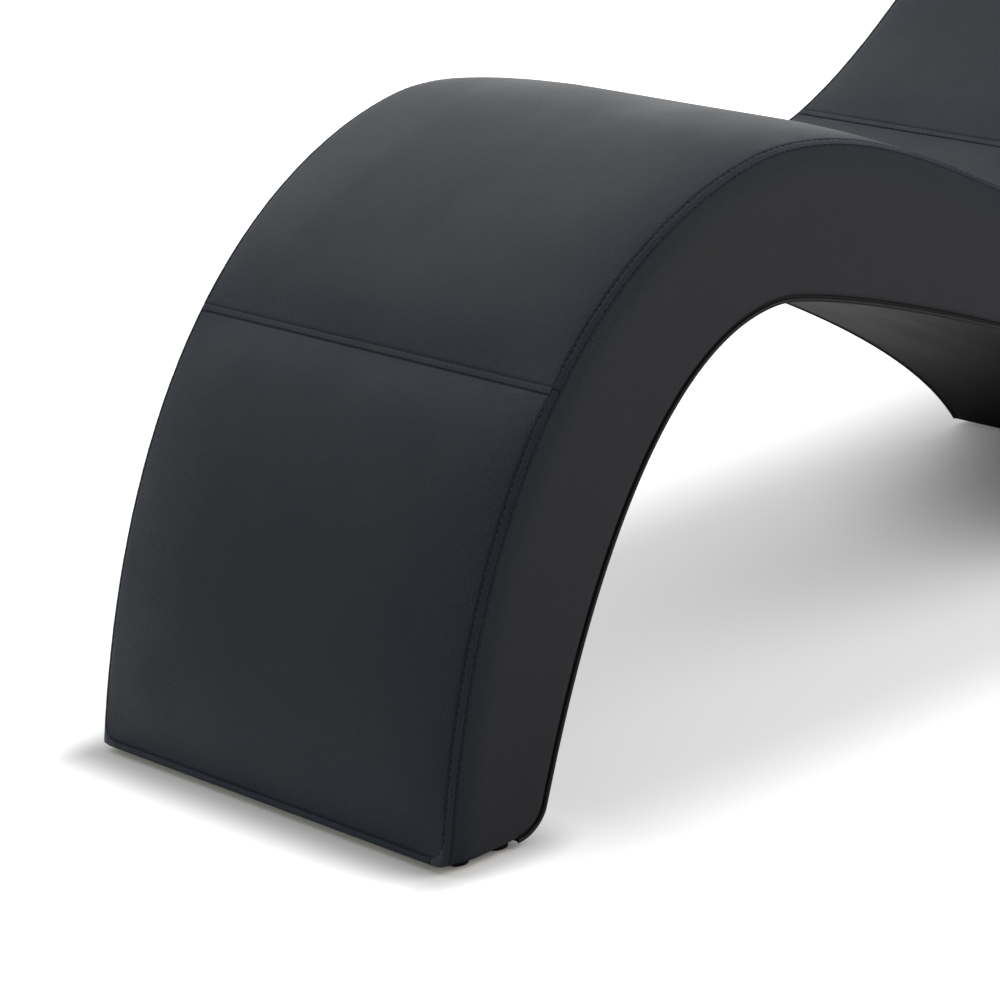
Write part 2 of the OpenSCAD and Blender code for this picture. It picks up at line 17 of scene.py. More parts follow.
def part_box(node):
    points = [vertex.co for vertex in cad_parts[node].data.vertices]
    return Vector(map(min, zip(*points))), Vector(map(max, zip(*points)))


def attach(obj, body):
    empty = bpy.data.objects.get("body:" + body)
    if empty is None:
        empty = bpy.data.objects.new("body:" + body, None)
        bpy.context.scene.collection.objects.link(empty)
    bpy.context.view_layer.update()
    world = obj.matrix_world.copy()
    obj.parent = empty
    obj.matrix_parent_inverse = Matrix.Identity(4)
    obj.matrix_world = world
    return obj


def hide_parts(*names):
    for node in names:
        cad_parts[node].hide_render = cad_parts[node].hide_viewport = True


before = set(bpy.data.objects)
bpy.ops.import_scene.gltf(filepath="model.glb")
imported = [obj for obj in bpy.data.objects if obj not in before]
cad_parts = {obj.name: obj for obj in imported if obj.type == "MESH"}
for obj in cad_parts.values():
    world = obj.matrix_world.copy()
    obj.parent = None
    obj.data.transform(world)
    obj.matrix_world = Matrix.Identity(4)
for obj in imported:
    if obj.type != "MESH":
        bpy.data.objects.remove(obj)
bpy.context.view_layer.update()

# %% [markdown]
# The lounger is one side outline carried across its width. The outline is a chain of
# cubic curves with a few handles, the way a pattern cutter draws it on the plywood, so a
# handful of sizes sets every cover, band and cord. The sizes are the ones the frame was
# cut to. A long list of measured points would give the same shape but no way to edit it.

# %% Sizes of the side outline
MM = 0.001
BODY_W = 620 * MM
HALF_W = BODY_W / 2
DUST_INSET = 12 * MM
TOE_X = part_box("leg_dust_cover")[0].x - DUST_INSET
BASE_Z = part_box("cover_shin")[0].z
CREST = np.array([493, 564.5]) * MM
SEAT = np.array([897, 389.4]) * MM
HEAD = np.array([1640, 905]) * MM
HEAD_SLOPE = math.radians(33)
HEAD_T = 130 * MM
REAR_SLOPE = math.radians(40)
BASE_REAR_X = 1420 * MM
ARCH_TOP = np.array([469, 419.8]) * MM
ARCH_END_X = 1136 * MM
LEG_T = 107 * MM
LEG_CORNER_R = 25 * MM
SIDES = ((-1, "left"), (1, "right"))
print("toe at x", TOE_X, "and covers from z", BASE_Z)

# %% [markdown]
# A cubic curve is worked out for all its points at once, with its rate of change, which
# gives the direction of travel and the way inwards for free. Reading both from a finished
# curve object would also work, but would have to be repeated after every change.

# %% Curves worked out as whole arrays
LEVEL_REACH = 130 * MM


def cubic(handles, count=300):
    """Points and rates of a cubic curve: the four handles weighted by (1-t)^3, 3(1-t)^2 t,
    3(1-t)t^2 and t^3, and the steps between handles weighted by (1-t)^2, 2(1-t)t and t^2."""
    p = np.array(handles, float)
    t = np.linspace(0, 1, count)[:, None]
    u = 1 - t
    points = u**3 * p[0] + 3 * u**2 * t * p[1] + 3 * u * t**2 * p[2] + t**3 * p[3]
    rates = 3 * (u**2 * (p[1] - p[0]) + 2 * u * t * (p[2] - p[1]) + t**2 * (p[3] - p[2]))
    return points, rates


def run_along(line):
    """Length of a line of points up to each of them: the running sum of their distances."""
    return np.concatenate([[0], np.cumsum(np.linalg.norm(np.diff(line, axis=0), axis=1))])


def chain(curves, level_start=False, level_end=False):
    """One outline from several curves: its length so far, points, inward directions and
    directions of travel. Inward is travel turned a quarter to the right, and close to the
    floor it turns level, so that layers of any depth end at the same height."""
    parts = [cubic(c) for c in curves]
    points = np.vstack([parts[0][0]] + [p[1:] for p, _ in parts[1:]])
    rates = np.vstack([parts[0][1]] + [r[1:] for _, r in parts[1:]])
    travel = rates / np.linalg.norm(rates, axis=1, keepdims=True)
    length = run_along(points)
    inward = np.stack([travel[:, 1], -travel[:, 0]], axis=1)
    weight = np.zeros(len(length))
    if level_start:
        weight = np.maximum(weight, 1 - length / LEVEL_REACH)
    if level_end:
        weight = np.maximum(weight, 1 - (length[-1] - length) / LEVEL_REACH)
    slant = np.where(weight > 0, travel[:, 0] / np.where(weight > 0, travel[:, 1], 1), 0)
    inward = inward + travel * (slant * np.clip(weight, 0, 1))[:, None]
    return {"s": length, "p": points + [TOE_X, 0], "n": inward, "t": travel}


def at(path, s, key):
    """Value of the path's points or directions at the lengths s, by straight interpolation."""
    return np.stack([np.interp(s, path["s"], path[key][:, k]) for k in (0, 1)], axis=-1)


def lay(path, s, y, h):
    """Points at length s along a path, y across, and h out from it: the path's point less
    h times the inward direction. The three arrays are stretched to one shape."""
    s, y, h = np.broadcast_arrays(s, y, h)
    flat = at(path, s, "p") - at(path, s, "n") * h[..., None]
    return np.stack([flat[..., 0], y, flat[..., 1]], axis=-1)


# %% The three outlines: top, rear and arch
toe = np.array([0, BASE_Z])
rise_z = CREST[1] - BASE_Z
head_dir = np.array([math.cos(HEAD_SLOPE), math.sin(HEAD_SLOPE)])
tail = HEAD + np.array([math.sin(HEAD_SLOPE), -math.cos(HEAD_SLOPE)]) * HEAD_T
tail_dir = np.array([math.cos(REAR_SLOPE), math.sin(REAR_SLOPE)])
seat_run = SEAT[0] - CREST[0]
back_run = HEAD[0] - SEAT[0]
rear_h = tail[1] - BASE_Z
arch_span = ARCH_END_X - ARCH_TOP[0]
arch_h = ARCH_TOP[1] - BASE_Z
leg_span = ARCH_TOP[0] - LEG_T
leg_lean = np.array([leg_span * 0.07, arch_h * 0.125])
corner = np.array([LEG_T, BASE_Z])
heel = corner + leg_lean / np.linalg.norm(leg_lean) * LEG_CORNER_R
sole = corner - [LEG_CORNER_R, 0]

leg_curve = [toe, toe + [0.288 * CREST[0], 0.9575 * rise_z], toe + [0.937 * CREST[0], rise_z], CREST]
knee_curve = [CREST, CREST + [0.427 * seat_run, 0], SEAT - [0.248 * seat_run, 0], SEAT]
back_curve = [SEAT, SEAT + [0.268 * back_run, 0], HEAD - head_dir * back_run * 0.35, HEAD]
head_curve = [HEAD, HEAD + head_dir * HEAD_T * 0.66, tail + tail_dir * HEAD_T * 0.66, tail]
rear_curve = [
    tail,
    tail - tail_dir * rear_h * 0.42,
    [BASE_REAR_X - (BASE_REAR_X - ARCH_END_X) * 0.05, BASE_Z + rear_h * 0.4],
    [BASE_REAR_X, BASE_Z],
]
arch_rear_curve = [
    [ARCH_END_X, BASE_Z],
    [ARCH_END_X - arch_span * 0.121, BASE_Z + arch_h * 0.431],
    ARCH_TOP + [arch_span * 0.114, 0],
    ARCH_TOP,
]
arch_leg_curve = [ARCH_TOP, ARCH_TOP - [leg_span * 0.496, 0], heel + leg_lean, heel]
corner_curve = [heel, heel + (corner - heel) * 0.55, sole + (corner - sole) * 0.55, sole]

TOP = chain([leg_curve, knee_curve, back_curve, head_curve], level_start=True)
REAR = chain([rear_curve], level_end=True)
ARCH = chain([arch_rear_curve, arch_leg_curve, corner_curve], level_start=True)
print("lengths along top, rear and arch", TOP["s"][-1], REAR["s"][-1], ARCH["s"][-1])


def length_at(curve, share):
    """Length of a curve from its start to the share of its own measure t."""
    points, _ = cubic(curve, 2001)
    return run_along(points)[int(round(share * 2000))]


CREST_S = length_at(leg_curve, 1)
SHIN_S = length_at(leg_curve, 0.3655)
SEAT_LOW_S = CREST_S + length_at(knee_curve, 1)
SEAT_S = SEAT_LOW_S + length_at(back_curve, 0.128)
HEAD_S = SEAT_LOW_S + length_at(back_curve, 1)
END_S = TOP["s"][-1]

# %% [markdown]
# The covers are pulled tight and stapled under the toe, which draws in its two lower
# corners. Cover, bands and stitches share that pull, so it is one function of place that
# moves all their points together, and not a dent worked into each piece.

# %% Pull at the toe corners
DRAWN_REACH = np.array([30, 22, 30]) * MM
DRAWN_POWER = np.array([1, 2, 1.5])
DRAWN_UP = 4 * MM
DRAWN_IN = 3 * MM


def drawn_in(points):
    """The cover is pulled under at the two lower toe corners, so points near them move up
    and inwards, by the product of three shares of nearness, along X, Y and Z, each to its
    own power."""
    near = np.stack([
        points[..., 0] - TOE_X,
        HALF_W - np.abs(points[..., 1]),
        points[..., 2] - BASE_Z,
    ], axis=-1) / DRAWN_REACH
    share = np.prod(np.clip(1 - near, 0, 1) ** DRAWN_POWER, axis=-1)
    share = np.clip(share, 0, 1)
    moved = points.copy()
    moved[..., 2] += DRAWN_UP * share
    moved[..., 1] -= np.sign(points[..., 1]) * DRAWN_IN * share
    return moved


toe_corner = np.array([[TOE_X, HALF_W, BASE_Z]])
print("toe corner moves by", (drawn_in(toe_corner) - toe_corner) / MM, "mm")

# %% [markdown]
# Every cover, pad, band and cord here is a closed section carried along one of those
# outlines. A section is a ring of places across the lounger and heights over the outline.
# Rings joined by quads make the skin, and each end is closed by quads between facing
# points, so all pieces share one mesh maker and come out as closed solids.

# %% Mesh maker
SHARP_FROM = math.radians(50)


def grid_quads(n, k, wrapped):
    """Quads between n rows of k points, which may be wrapped round from last to first."""
    i, j = np.meshgrid(np.arange(n - 1), np.arange(k if wrapped else k - 1), indexing="ij")
    after = (j + 1) % k
    return np.stack([i * k + j, (i + 1) * k + j, (i + 1) * k + after, i * k + after], -1).reshape(-1, 4)


def ring_quads(n, k):
    """Quads of n rings of k points, wrapped round, with both ends closed by facing pairs."""
    e = np.arange(k // 2 - 1)
    start = np.stack([e, e + 1, k - 2 - e, k - 1 - e], -1)
    end = start[:, ::-1] + (n - 1) * k
    return np.vstack([grid_quads(n, k, True), start, end])


def closed_mesh(name, verts, quads):
    """A smooth mesh, drawn in at the toe corners, with its faces turned outwards."""
    mesh = bpy.data.meshes.new(name)
    mesh.from_pydata(drawn_in(verts).tolist(), [], quads.tolist())
    bm = bmesh.new()
    bm.from_mesh(mesh)
    bmesh.ops.recalc_face_normals(bm, faces=bm.faces)
    bm.to_mesh(mesh)
    bm.free()
    mesh.polygons.foreach_set("use_smooth", np.ones(len(mesh.polygons), bool))
    return mesh


def make_mesh(name, ring_sets, **marks):
    """One mesh from sets of rings, each of shape (n, k, 3), with sharp edges kept sharp. Each
    mark is an attribute for the materials: an array per set, with one number per point."""
    quads, base = [], 0
    for n, k, _ in (rings.shape for rings in ring_sets):
        quads.append(ring_quads(n, k) + base)
        base += n * k
    verts = np.vstack([rings.reshape(-1, 3) for rings in ring_sets])
    mesh = closed_mesh(name, verts, np.vstack(quads))
    for mark, arrays in marks.items():
        layer = mesh.attributes.new(mark, "FLOAT", "POINT")
        layer.data.foreach_set("value", np.concatenate([a.ravel() for a in arrays]).astype(np.float32))
    mesh.set_sharp_from_angle(angle=SHARP_FROM)
    return mesh


def new_object(name, data):
    """An object of the scene that shows a mesh, lamp or camera."""
    thing = bpy.data.objects.new(name, data)
    bpy.context.scene.collection.objects.link(thing)
    return thing


def add_piece(mesh, material, slot, *nodes):
    """A finished piece named as its mesh: its material, body and the CAD nodes that it stands
    for. The slot is not used."""
    piece = new_object(mesh.name, mesh)
    mesh.materials.append(material)
    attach(piece, "root")
    if nodes:
        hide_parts(*nodes)
    print(piece.name, len(mesh.polygons), "faces")
    return piece


def two_layers(outer, inner):
    """Rings of a skin: across its outer layer and back along its inner one."""
    return np.concatenate([outer, inner[:, ::-1]], axis=1)


# %% [markdown]
# ## Materials
# Each material starts from what the real one is. Colours are written as they look on a
# screen and turned to the linear values that the renderer adds up. Patterns read the
# object's own coordinates in metres, so a grain of 1.6 mm is a scale of 1 / 0.0016.

# %% Helpers for colours and nodes


def linear(hex_colour):
    """sRGB hex to linear RGBA: v / 12.92 below 0.04045, else ((v + 0.055) / 1.055) ^ 2.4."""
    v = np.array([int(hex_colour[i:i + 2], 16) for i in (1, 3, 5)]) / 255
    v = np.where(v <= 0.04045, v / 12.92, ((v + 0.055) / 1.055) ** 2.4)
    return (*v.tolist(), 1.0)


def add_node(tree, kind, inputs=None, **settings):
    """Adds a shader node of a kind, sets its properties, and sets its inputs or links them to
    a socket or to a node's first output."""
    new = tree.nodes.new("ShaderNode" + kind)
    for key, value in settings.items():
        setattr(new, key, value)
    for key, value in (inputs or {}).items():
        value = value.outputs[0] if isinstance(value, bpy.types.Node) else value
        if isinstance(value, bpy.types.NodeSocket):
            tree.links.new(value, new.inputs[key])
        else:
            new.inputs[key].default_value = value
    return new


def new_material(name):
    """An empty node material and its tree."""
    material = bpy.data.materials.new(name)
    material.use_nodes = True
    material.node_tree.nodes.clear()
    return material, material.node_tree


def blend_colours(tree, share, first, second):
    """Colour socket that goes from the first hex or socket to the second by a share."""
    first, second = (linear(c) if isinstance(c, str) else c for c in (first, second))
    return add_node(tree, "Mix", {0: share, 6: first, 7: second}, data_type="RGBA").outputs[2]


# %% [markdown]
# PU leather is a knitted cloth with a coat of polyurethane, pressed by an engraved roller.
# The roller leaves shallow pebbles 1 to 2 mm wide with fine valleys between them. The
# pebble tops are smoother than the valleys, which gives the satin sheen. Cells of the
# pebble pattern come from Voronoi distance, a finer noise breaks their tops, and a slow
# noise makes hand-sized patches a little duller, as handled covers are. Leather pulled
# taut over foam loses its pebbles, so each point carries how stretched it is.

# %% PU leather
PEBBLE = 1.3 * MM
# Colour of the painted shade in creases, seams and grooves.
PAINTED_SHADE_TONE = "#040405"


def pu_leather(name, low, high, rough, depth, specular, tint=(1, 1, 1, 1), sheen_tone=None):
    """Pressed polyurethane leather between two tones, with its roughness and grain depth. A
    painted sheen tone takes over where the leather isn't stretched, and creases, seams and
    grooves are darkened with painted shade and made duller."""
    material, tree = new_material(name)
    where = add_node(tree, "TexCoord").outputs["Object"]
    warp = add_node(tree, "TexNoise", {"Vector": where, "Scale": 0.35 / PEBBLE, "Detail": 2.0})
    bent = add_node(tree, "VectorMath", {0: warp.outputs["Color"], 1: (0.9 * PEBBLE,) * 3},
                    operation="MULTIPLY")
    place = add_node(tree, "VectorMath", {0: where, 1: bent}, operation="ADD")
    cells = add_node(tree, "TexVoronoi", {"Vector": place, "Scale": 1 / PEBBLE, "Smoothness": 0.35},
                     feature="SMOOTH_F1")
    fine = add_node(tree, "TexNoise", {"Vector": where, "Scale": 2.2 / PEBBLE, "Detail": 3.0})
    patch = add_node(tree, "TexNoise", {"Vector": where, "Scale": 9.0, "Detail": 3.0})
    crease = add_node(tree, "Attribute", attribute_name="crease").outputs["Fac"]
    taut = add_node(tree, "Attribute", attribute_name="stretch").outputs["Fac"]
    relief = add_node(tree, "Math", {0: 1.0, 1: taut}, operation="SUBTRACT")
    tops = add_node(tree, "MapRange", {"Value": cells, "From Min": 0.15, "From Max": 0.75,
                    "To Min": 1.0, "To Max": 0.0}, interpolation_type="SMOOTHSTEP")
    height = add_node(tree, "Math", {0: fine, 1: 0.25, 2: tops}, operation="MULTIPLY_ADD")
    height = add_node(tree, "Math", {0: height, 1: relief}, operation="MULTIPLY")
    tone = add_node(tree, "Math", {0: patch, 1: tops}, operation="MULTIPLY")
    colour = blend_colours(tree, tone, low, high)
    # Painted sheen: a cooler tone where the leather isn't stretched, beside the seams.
    if sheen_tone:
        colour = blend_colours(tree, taut, sheen_tone, colour)
    # Painted shade: creases, seams and grooves blend towards a near-black tone.
    colour = blend_colours(tree, crease, colour, PAINTED_SHADE_TONE)
    gloss = add_node(tree, "MapRange", {"Value": patch, "From Min": 0.3, "From Max": 0.7,
                     "To Min": rough - 0.03, "To Max": rough + 0.03})
    valley = add_node(tree, "Math", {0: tops, 1: -0.06, 2: gloss}, operation="MULTIPLY_ADD")
    shade_dulled = add_node(tree, "Math", {0: crease, 1: 0.4, 2: valley}, operation="MULTIPLY_ADD", use_clamp=True)
    bump = add_node(tree, "Bump", {"Height": height, "Distance": depth, "Strength": 1.0})
    skin = add_node(tree, "BsdfPrincipled", {
        "Base Color": colour, "Roughness": shade_dulled, "Normal": bump, "IOR": 1.5,
        "Specular IOR Level": specular, "Specular Tint": tint})
    add_node(tree, "OutputMaterial", {"Surface": skin})
    return material


# %% [markdown]
# Four copies of that leather are used, and their tones partly paint light and shade. The top
# panels have the deepest grain and a cool sheen. The side panels are a warmer, lighter grey,
# which is painted light, and beside the top seam they turn to a painted cool sheen. The arch
# and rear lining is a plainer, duller sheet, painted darker than the sides for the shade
# under the lounger. The seam bands are folded double and pulled flat, so their grain is
# faint and their sheen a little stronger, and they are coloured all over in a lighter
# painted sheen tone.

# %% The four leathers
COOL = (0.68, 0.82, 1.0, 1.0)
# Painted cool sheen beside the top panels' seams, and all over the cross bands and hem.
SEAM_SHEEN_TONE = "#131a22"
cover_leather = pu_leather("pu_leather_charcoal", "#0e1418", "#181f25", 0.5, 0.24 * MM, 0.12, COOL,
                           SEAM_SHEEN_TONE)
# Lighter than the top panels: painted light on the side panels.
side_leather = pu_leather("pu_leather_side", "#1f1f21", "#29292c", 0.5, 0.24 * MM, 0.11,
                          sheen_tone="#13191e")
# Darker than the side panels: painted shade under the lounger.
lining_leather = pu_leather("pu_leather_lining", "#111213", "#191a1b", 0.55, 0.08 * MM, 0.06)
# Coloured all over in its lighter painted sheen tone, as the bands carry no stretch share.
band_leather = pu_leather("pu_leather_seam_band", "#0e1418", "#181f25", 0.48, 0.1 * MM, 0.17, COOL,
                          "#22272d")
leathers = (cover_leather, side_leather, lining_leather, band_leather)
print("leathers", [leather.name for leather in leathers])

# %% [markdown]
# The piping reads almost black, with a rope's slanted ridges: its thin leather is drawn so
# tight over a twisted filler cord that the strands show through. Each point of the cord
# carries how many turns of the twist lie before it, so a sine of that number gives the
# ridges, and they follow the cord round every bend.

# %% Leather over a twisted cord
def twisted_piping(name, low, high, rough, depth, specular):
    """Thin leather over a twisted cord: tone and relief from (1 + sin(2 pi turns)) / 2."""
    material, tree = new_material(name)
    turns = add_node(tree, "Attribute", attribute_name="twist").outputs["Fac"]
    angle = add_node(tree, "Math", {0: turns, 1: 2 * math.pi}, operation="MULTIPLY")
    ridge = add_node(tree, "Math", {0: angle}, operation="SINE")
    ridge = add_node(tree, "Math", {0: ridge, 1: 0.5, 2: 0.5}, operation="MULTIPLY_ADD")
    crease = add_node(tree, "Attribute", attribute_name="crease").outputs["Fac"]
    # Painted shade on the cord's side that faces the groove and on the flange.
    colour = blend_colours(tree, crease, blend_colours(tree, ridge, low, high), PAINTED_SHADE_TONE)
    bump = add_node(tree, "Bump", {"Height": ridge, "Distance": depth})
    skin = add_node(tree, "BsdfPrincipled", {
        "Base Color": colour, "Roughness": rough, "Normal": bump, "Specular IOR Level": specular})
    add_node(tree, "OutputMaterial", {"Surface": skin})
    return material


piping_leather = twisted_piping("pu_leather_over_cord", "#08090b", "#1b1e24", 0.45, 0.25 * MM, 0.12)

# %% [markdown]
# The seams are sewn with bonded nylon thread, black on charcoal, which reads as a row of
# short dark dashes. The thread is a tight twist, so a stripe runs slanted across each
# stitch. The other hidden materials follow common upholstery practice: cut foam,
# birch plywood with its stacked veneers, sawn pine, bendy plywood, black spun-bonded
# dust cloth, moulded nylon glides and zinc-plated screws.

# %% Thread, foam and cloth


def simple_material(name, low, high, rough, scale, depth, specular=0.5, metallic=0.0, stretch=(1, 1, 1),
                    kind="TexNoise"):
    """A two-tone material whose tones and relief follow one pattern of a real size."""
    material, tree = new_material(name)
    where = add_node(tree, "TexCoord").outputs["Object"]
    pulled = add_node(tree, "Mapping", {"Vector": where, "Scale": stretch})
    pattern = add_node(tree, kind, {"Vector": pulled, "Scale": 1 / scale})
    colour = blend_colours(tree, pattern, low, high)
    bump = add_node(tree, "Bump", {"Height": pattern, "Distance": depth})
    rough_range = add_node(tree, "MapRange", {"Value": pattern, "To Min": rough - 0.06,
                           "To Max": rough + 0.06})
    skin = add_node(tree, "BsdfPrincipled", {
        "Base Color": colour, "Roughness": rough_range, "Metallic": metallic, "Normal": bump,
        "Specular IOR Level": specular})
    add_node(tree, "OutputMaterial", {"Surface": skin})
    return material


thread = simple_material("bonded_nylon_thread", "#020203", "#060607", 0.8, 0.9 * MM, 0.1 * MM, 0.05)
foam_open = simple_material("polyurethane_foam", "#d9cf9f", "#efe8c4", 0.9, 1.2 * MM, 0.3 * MM,
                            kind="TexVoronoi")
dust_cloth = simple_material("spun_bonded_dust_cloth", "#0b0b0c", "#161617", 0.85, 0.8 * MM, 0.1 * MM, 0.2)
glide_nylon = simple_material("moulded_nylon", "#040405", "#08080a", 0.7, 0.6 * MM, 0.02 * MM, 0.1)
zinc_steel = simple_material("zinc_plated_steel", "#b9bcbd", "#cfd1cf", 0.32, 1.5 * MM, 0.01 * MM,
                             metallic=1.0)
pine = simple_material("sawn_pine", "#c9a26b", "#e2c190", 0.65, 4 * MM, 0.1 * MM, 0.3,
                       stretch=(1, 0.05, 1))
bendy_ply = simple_material("bendy_plywood", "#bd9560", "#dbb883", 0.62, 5 * MM, 0.08 * MM, 0.3,
                            stretch=(1, 0.06, 1))


# %% [markdown]
# Plywood shows what it is on its cut edges: thin veneers stacked across the sheet, light
# and dark in turn, 1.4 mm each. The stack runs across Y in the upright ribs and along Z in
# the boards that lie flat, so the same material is made twice with the stack turned.

# %% Plywood
VENEER = 1.4 * MM


def birch_plywood(name, across):
    """Birch plywood with veneers stacked along one axis, 'X', 'Y' or 'Z'. A wave node's bands
    repeat every 0.31416 / scale, and one light and one dark veneer make a band."""
    material, tree = new_material(name)
    where = add_node(tree, "TexCoord").outputs["Object"]
    grain = add_node(tree, "Mapping", {"Vector": where, "Scale": (0.08, 1, 1)})
    fibres = add_node(tree, "TexNoise", {"Vector": grain, "Scale": 1 / (3 * MM)})
    stack = add_node(tree, "TexWave", {"Vector": where, "Scale": 0.31416 / (2 * VENEER)},
                     bands_direction=across)
    tone = blend_colours(tree, fibres, "#caa775", "#e3c798")
    colour = blend_colours(tree, stack.outputs["Fac"], tone, "#a9824f")
    bump = add_node(tree, "Bump", {"Height": fibres, "Distance": 0.05 * MM})
    skin = add_node(tree, "BsdfPrincipled", {"Base Color": colour, "Roughness": 0.62, "Normal": bump})
    add_node(tree, "OutputMaterial", {"Surface": skin})
    return material


rib_ply = birch_plywood("birch_plywood_rib", "Y")
board_ply = birch_plywood("birch_plywood_board", "Z")

# %% [markdown]
# The frame inside the lounger is already right in the CAD model, so those nodes stay and
# only get their materials. Glides and screws stay too.

# %% Materials for the CAD nodes that stay
node_materials = {
    "rib": rib_ply, "foot_board": board_ply, "seat_board": board_ply, "rail": pine, "head_block": pine,
    "deck": bendy_ply, "arch_lining": bendy_ply, "rear_lining": bendy_ply, "leg_dust": dust_cloth,
    "base_dust": dust_cloth, "toe_glide": glide_nylon, "heel_glide": glide_nylon,
    "front_glide": glide_nylon, "rear_glide": glide_nylon, "glide_screws": zinc_steel,
    "frame_screws": zinc_steel,
}
for node_name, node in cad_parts.items():
    for start, material in node_materials.items():
        if node_name.startswith(start):
            node.data.materials.clear()
            node.data.materials.append(material)
print("CAD nodes dressed", sum(n.startswith(tuple(node_materials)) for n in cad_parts))

# %% [markdown]
# ## Top panels
# The shin, seat and back panels are stuffed from behind with foam and held down along
# their seams, so each one rises steeply out of its seams and is nearly level in the
# middle. The crown is a product of two curves, one along the panel and one across it.
# Small waves along the seams stand for the pull of the stitches.

# %% Crown of a panel
COVER_T = 1.5 * MM
BAND_W = 11 * MM
BAND_Y = HALF_W - 9.8 * MM
BAND_ROLL = 9.4 * MM
CROSS_W = 8.2 * MM
HEM_W = 7.4 * MM
CROWN = 9 * MM
ROLL = 90 * MM
CLEAR = 0.2 * MM
BOW_FLAT = 3.5
BOW_FULL = 0.75


def rise(distance, reach):
    """Share of full height at a distance from a seam: 2q - q^2 with q the share of reach."""
    q = np.clip(distance / reach, 0, 1)
    return 2 * q - q * q


def bow(v):
    """Share of full height at v of the half width: (1 - |v|^3.5)^0.75."""
    return np.clip(1 - np.abs(v) ** BOW_FLAT, 0, 1) ** BOW_FULL


def crown(s, y, s0, s1):
    """Height of the stuffed panel between seams s0 and s1: CROWN times rise from both seams
    along it, times bow across it."""
    return CROWN * rise(s - s0, ROLL) * rise(s1 - s, ROLL) * bow(y / BAND_Y)


def waves(x, y, sizes, seed):
    """Soft unevenness between -1 and 1: the mean of sines whose wavelengths are given and
    whose directions and phases come from a seeded draw."""
    rng = np.random.default_rng(seed)
    total = np.zeros(np.broadcast(x, y).shape)
    for size in sizes:
        angle = rng.uniform(0, math.pi)
        phase = rng.uniform(0, 2 * math.pi)
        total = total + np.sin((x * math.cos(angle) + y * math.sin(angle)) * 2 * math.pi / size + phase)
    return total / len(sizes)


def spread(a, b, count):
    """count places from a to b, closer together at both ends: u - 0.12 sin(2 pi u)."""
    u = np.linspace(0, 1, count)
    return a + (b - a) * (u - 0.12 * np.sin(2 * math.pi * u))


print("crown 10 mm inside a side seam", crown(0.5, BAND_Y - 10 * MM, 0, 1) / MM, "mm")


# %% [markdown]
# The real panel is a flat cut of leather, sewn down all round and pushed out by the foam
# behind it. The cloth simulation does the same: a flat grid with a pinned border is blown
# up by pressure, without gravity, for 20 frames. A flat grid is used because a curved one
# would mostly slide along its own bend.

# %% Cloth simulation of a pinned panel
CELL = 10 * MM
FRAMES = 20
LEATHER_CLOTH = {
    "quality": 5, "mass": 0.3, "tension_stiffness": 15, "compression_stiffness": 15,
    "shear_stiffness": 5, "bending_stiffness": 0.5, "use_pressure": True,
    "uniform_pressure_force": 4, "vertex_group_mass": "pin",
}


def blown_heights(length, width):
    """Heights of a flat pinned grid after 20 frames of pressure, as an array (along, across)."""
    n, m = int(length / CELL) + 1, int(width / CELL) + 1
    x, y = np.meshgrid(np.linspace(0, length, n), np.linspace(-width / 2, width / 2, m), indexing="ij")
    flat = np.stack([x, y, 0 * x], axis=-1)
    mesh = bpy.data.meshes.new("blown_panel")
    mesh.from_pydata(flat.reshape(-1, 3).tolist(), [], grid_quads(n, m, False).tolist())
    grid = new_object("blown_panel", mesh)
    border = (x == x[0, 0]) | (x == x[-1, 0]) | (y == y[0, 0]) | (y == y[0, -1])
    grid.vertex_groups.new(name="pin").add(np.flatnonzero(border).tolist(), 1.0, "REPLACE")
    cloth = grid.modifiers.new("cloth", "CLOTH")
    for key, value in LEATHER_CLOTH.items():
        setattr(cloth.settings, key, value)
    cloth.settings.effector_weights.gravity = 0
    cloth.collision_settings.use_collision = False
    cloth.point_cache.frame_start = 1
    cloth.point_cache.frame_end = FRAMES
    for step in range(1, FRAMES + 1):
        bpy.context.scene.frame_set(step)
    blown = grid.evaluated_get(bpy.context.evaluated_depsgraph_get()).to_mesh()
    places = np.empty(n * m * 3, np.float32)
    blown.vertices.foreach_get("co", places)
    bpy.data.objects.remove(grid)
    bpy.data.meshes.remove(mesh)
    bpy.context.scene.frame_set(1)
    return places.reshape(n, m, 3)[..., 2].astype(float)


# %% [markdown]
# The blown heights are eased to the depth that the foam allows and divided by the plain
# crown and by their own median. That leaves a smooth field of fullness on the grid's knots,
# which cubic B-splines carry to any other grid without a kink. Short waves are added where
# the stitches pull, and slow ones where the foam is uneven.

# %% Fullness and height of a panel
EASE = 0.45 * CROWN
LEAST_FULL, MOST_FULL = 0.7, 1.03


def fullness_field(s0, s1):
    """Simulated height over the plain crown at the grid's knots: heights h are eased by
    CROWN (1 - exp(-h / 0.45 CROWN)), and the border takes its neighbours' values."""
    heights = blown_heights(s1 - s0, 2 * BAND_Y)
    eased = CROWN * (1 - np.exp(-np.clip(heights, 0, None) / EASE))
    n, m = eased.shape
    s = np.linspace(s0, s1, n)[1:-1, None]
    y = np.linspace(-BAND_Y, BAND_Y, m)[None, 1:-1]
    inside = eased[1:-1, 1:-1] / crown(s, y, s0, s1)
    inside = np.clip(inside / np.median(inside), LEAST_FULL, MOST_FULL)
    print("blown to", round(heights.max() / MM, 1), "mm, fullness", inside.min(), inside.max())
    return np.pad(inside, 2, mode="edge")


def knot_weights(places, first, last, count):
    """Weight of each knot at each place, from the cubic B-spline: 2/3 - d^2 + d^3/2 below a
    distance d of one knot and (2 - d)^3 / 6 below two."""
    d = np.abs((places - first)[:, None] / (last - first) * (count - 1) - np.arange(-1, count + 1))
    return np.where(d < 1, 2 / 3 - d**2 + d**3 / 2, np.clip(2 - d, 0, None) ** 3 / 6)


PULL_REACH = 12 * MM
PULL_H = 0.35 * MM
PULL_WAVES = [21 * MM, 34 * MM, 47 * MM]
FOAM_H = 0.4 * MM
FOAM_WAVES = [160 * MM, 230 * MM, 310 * MM]


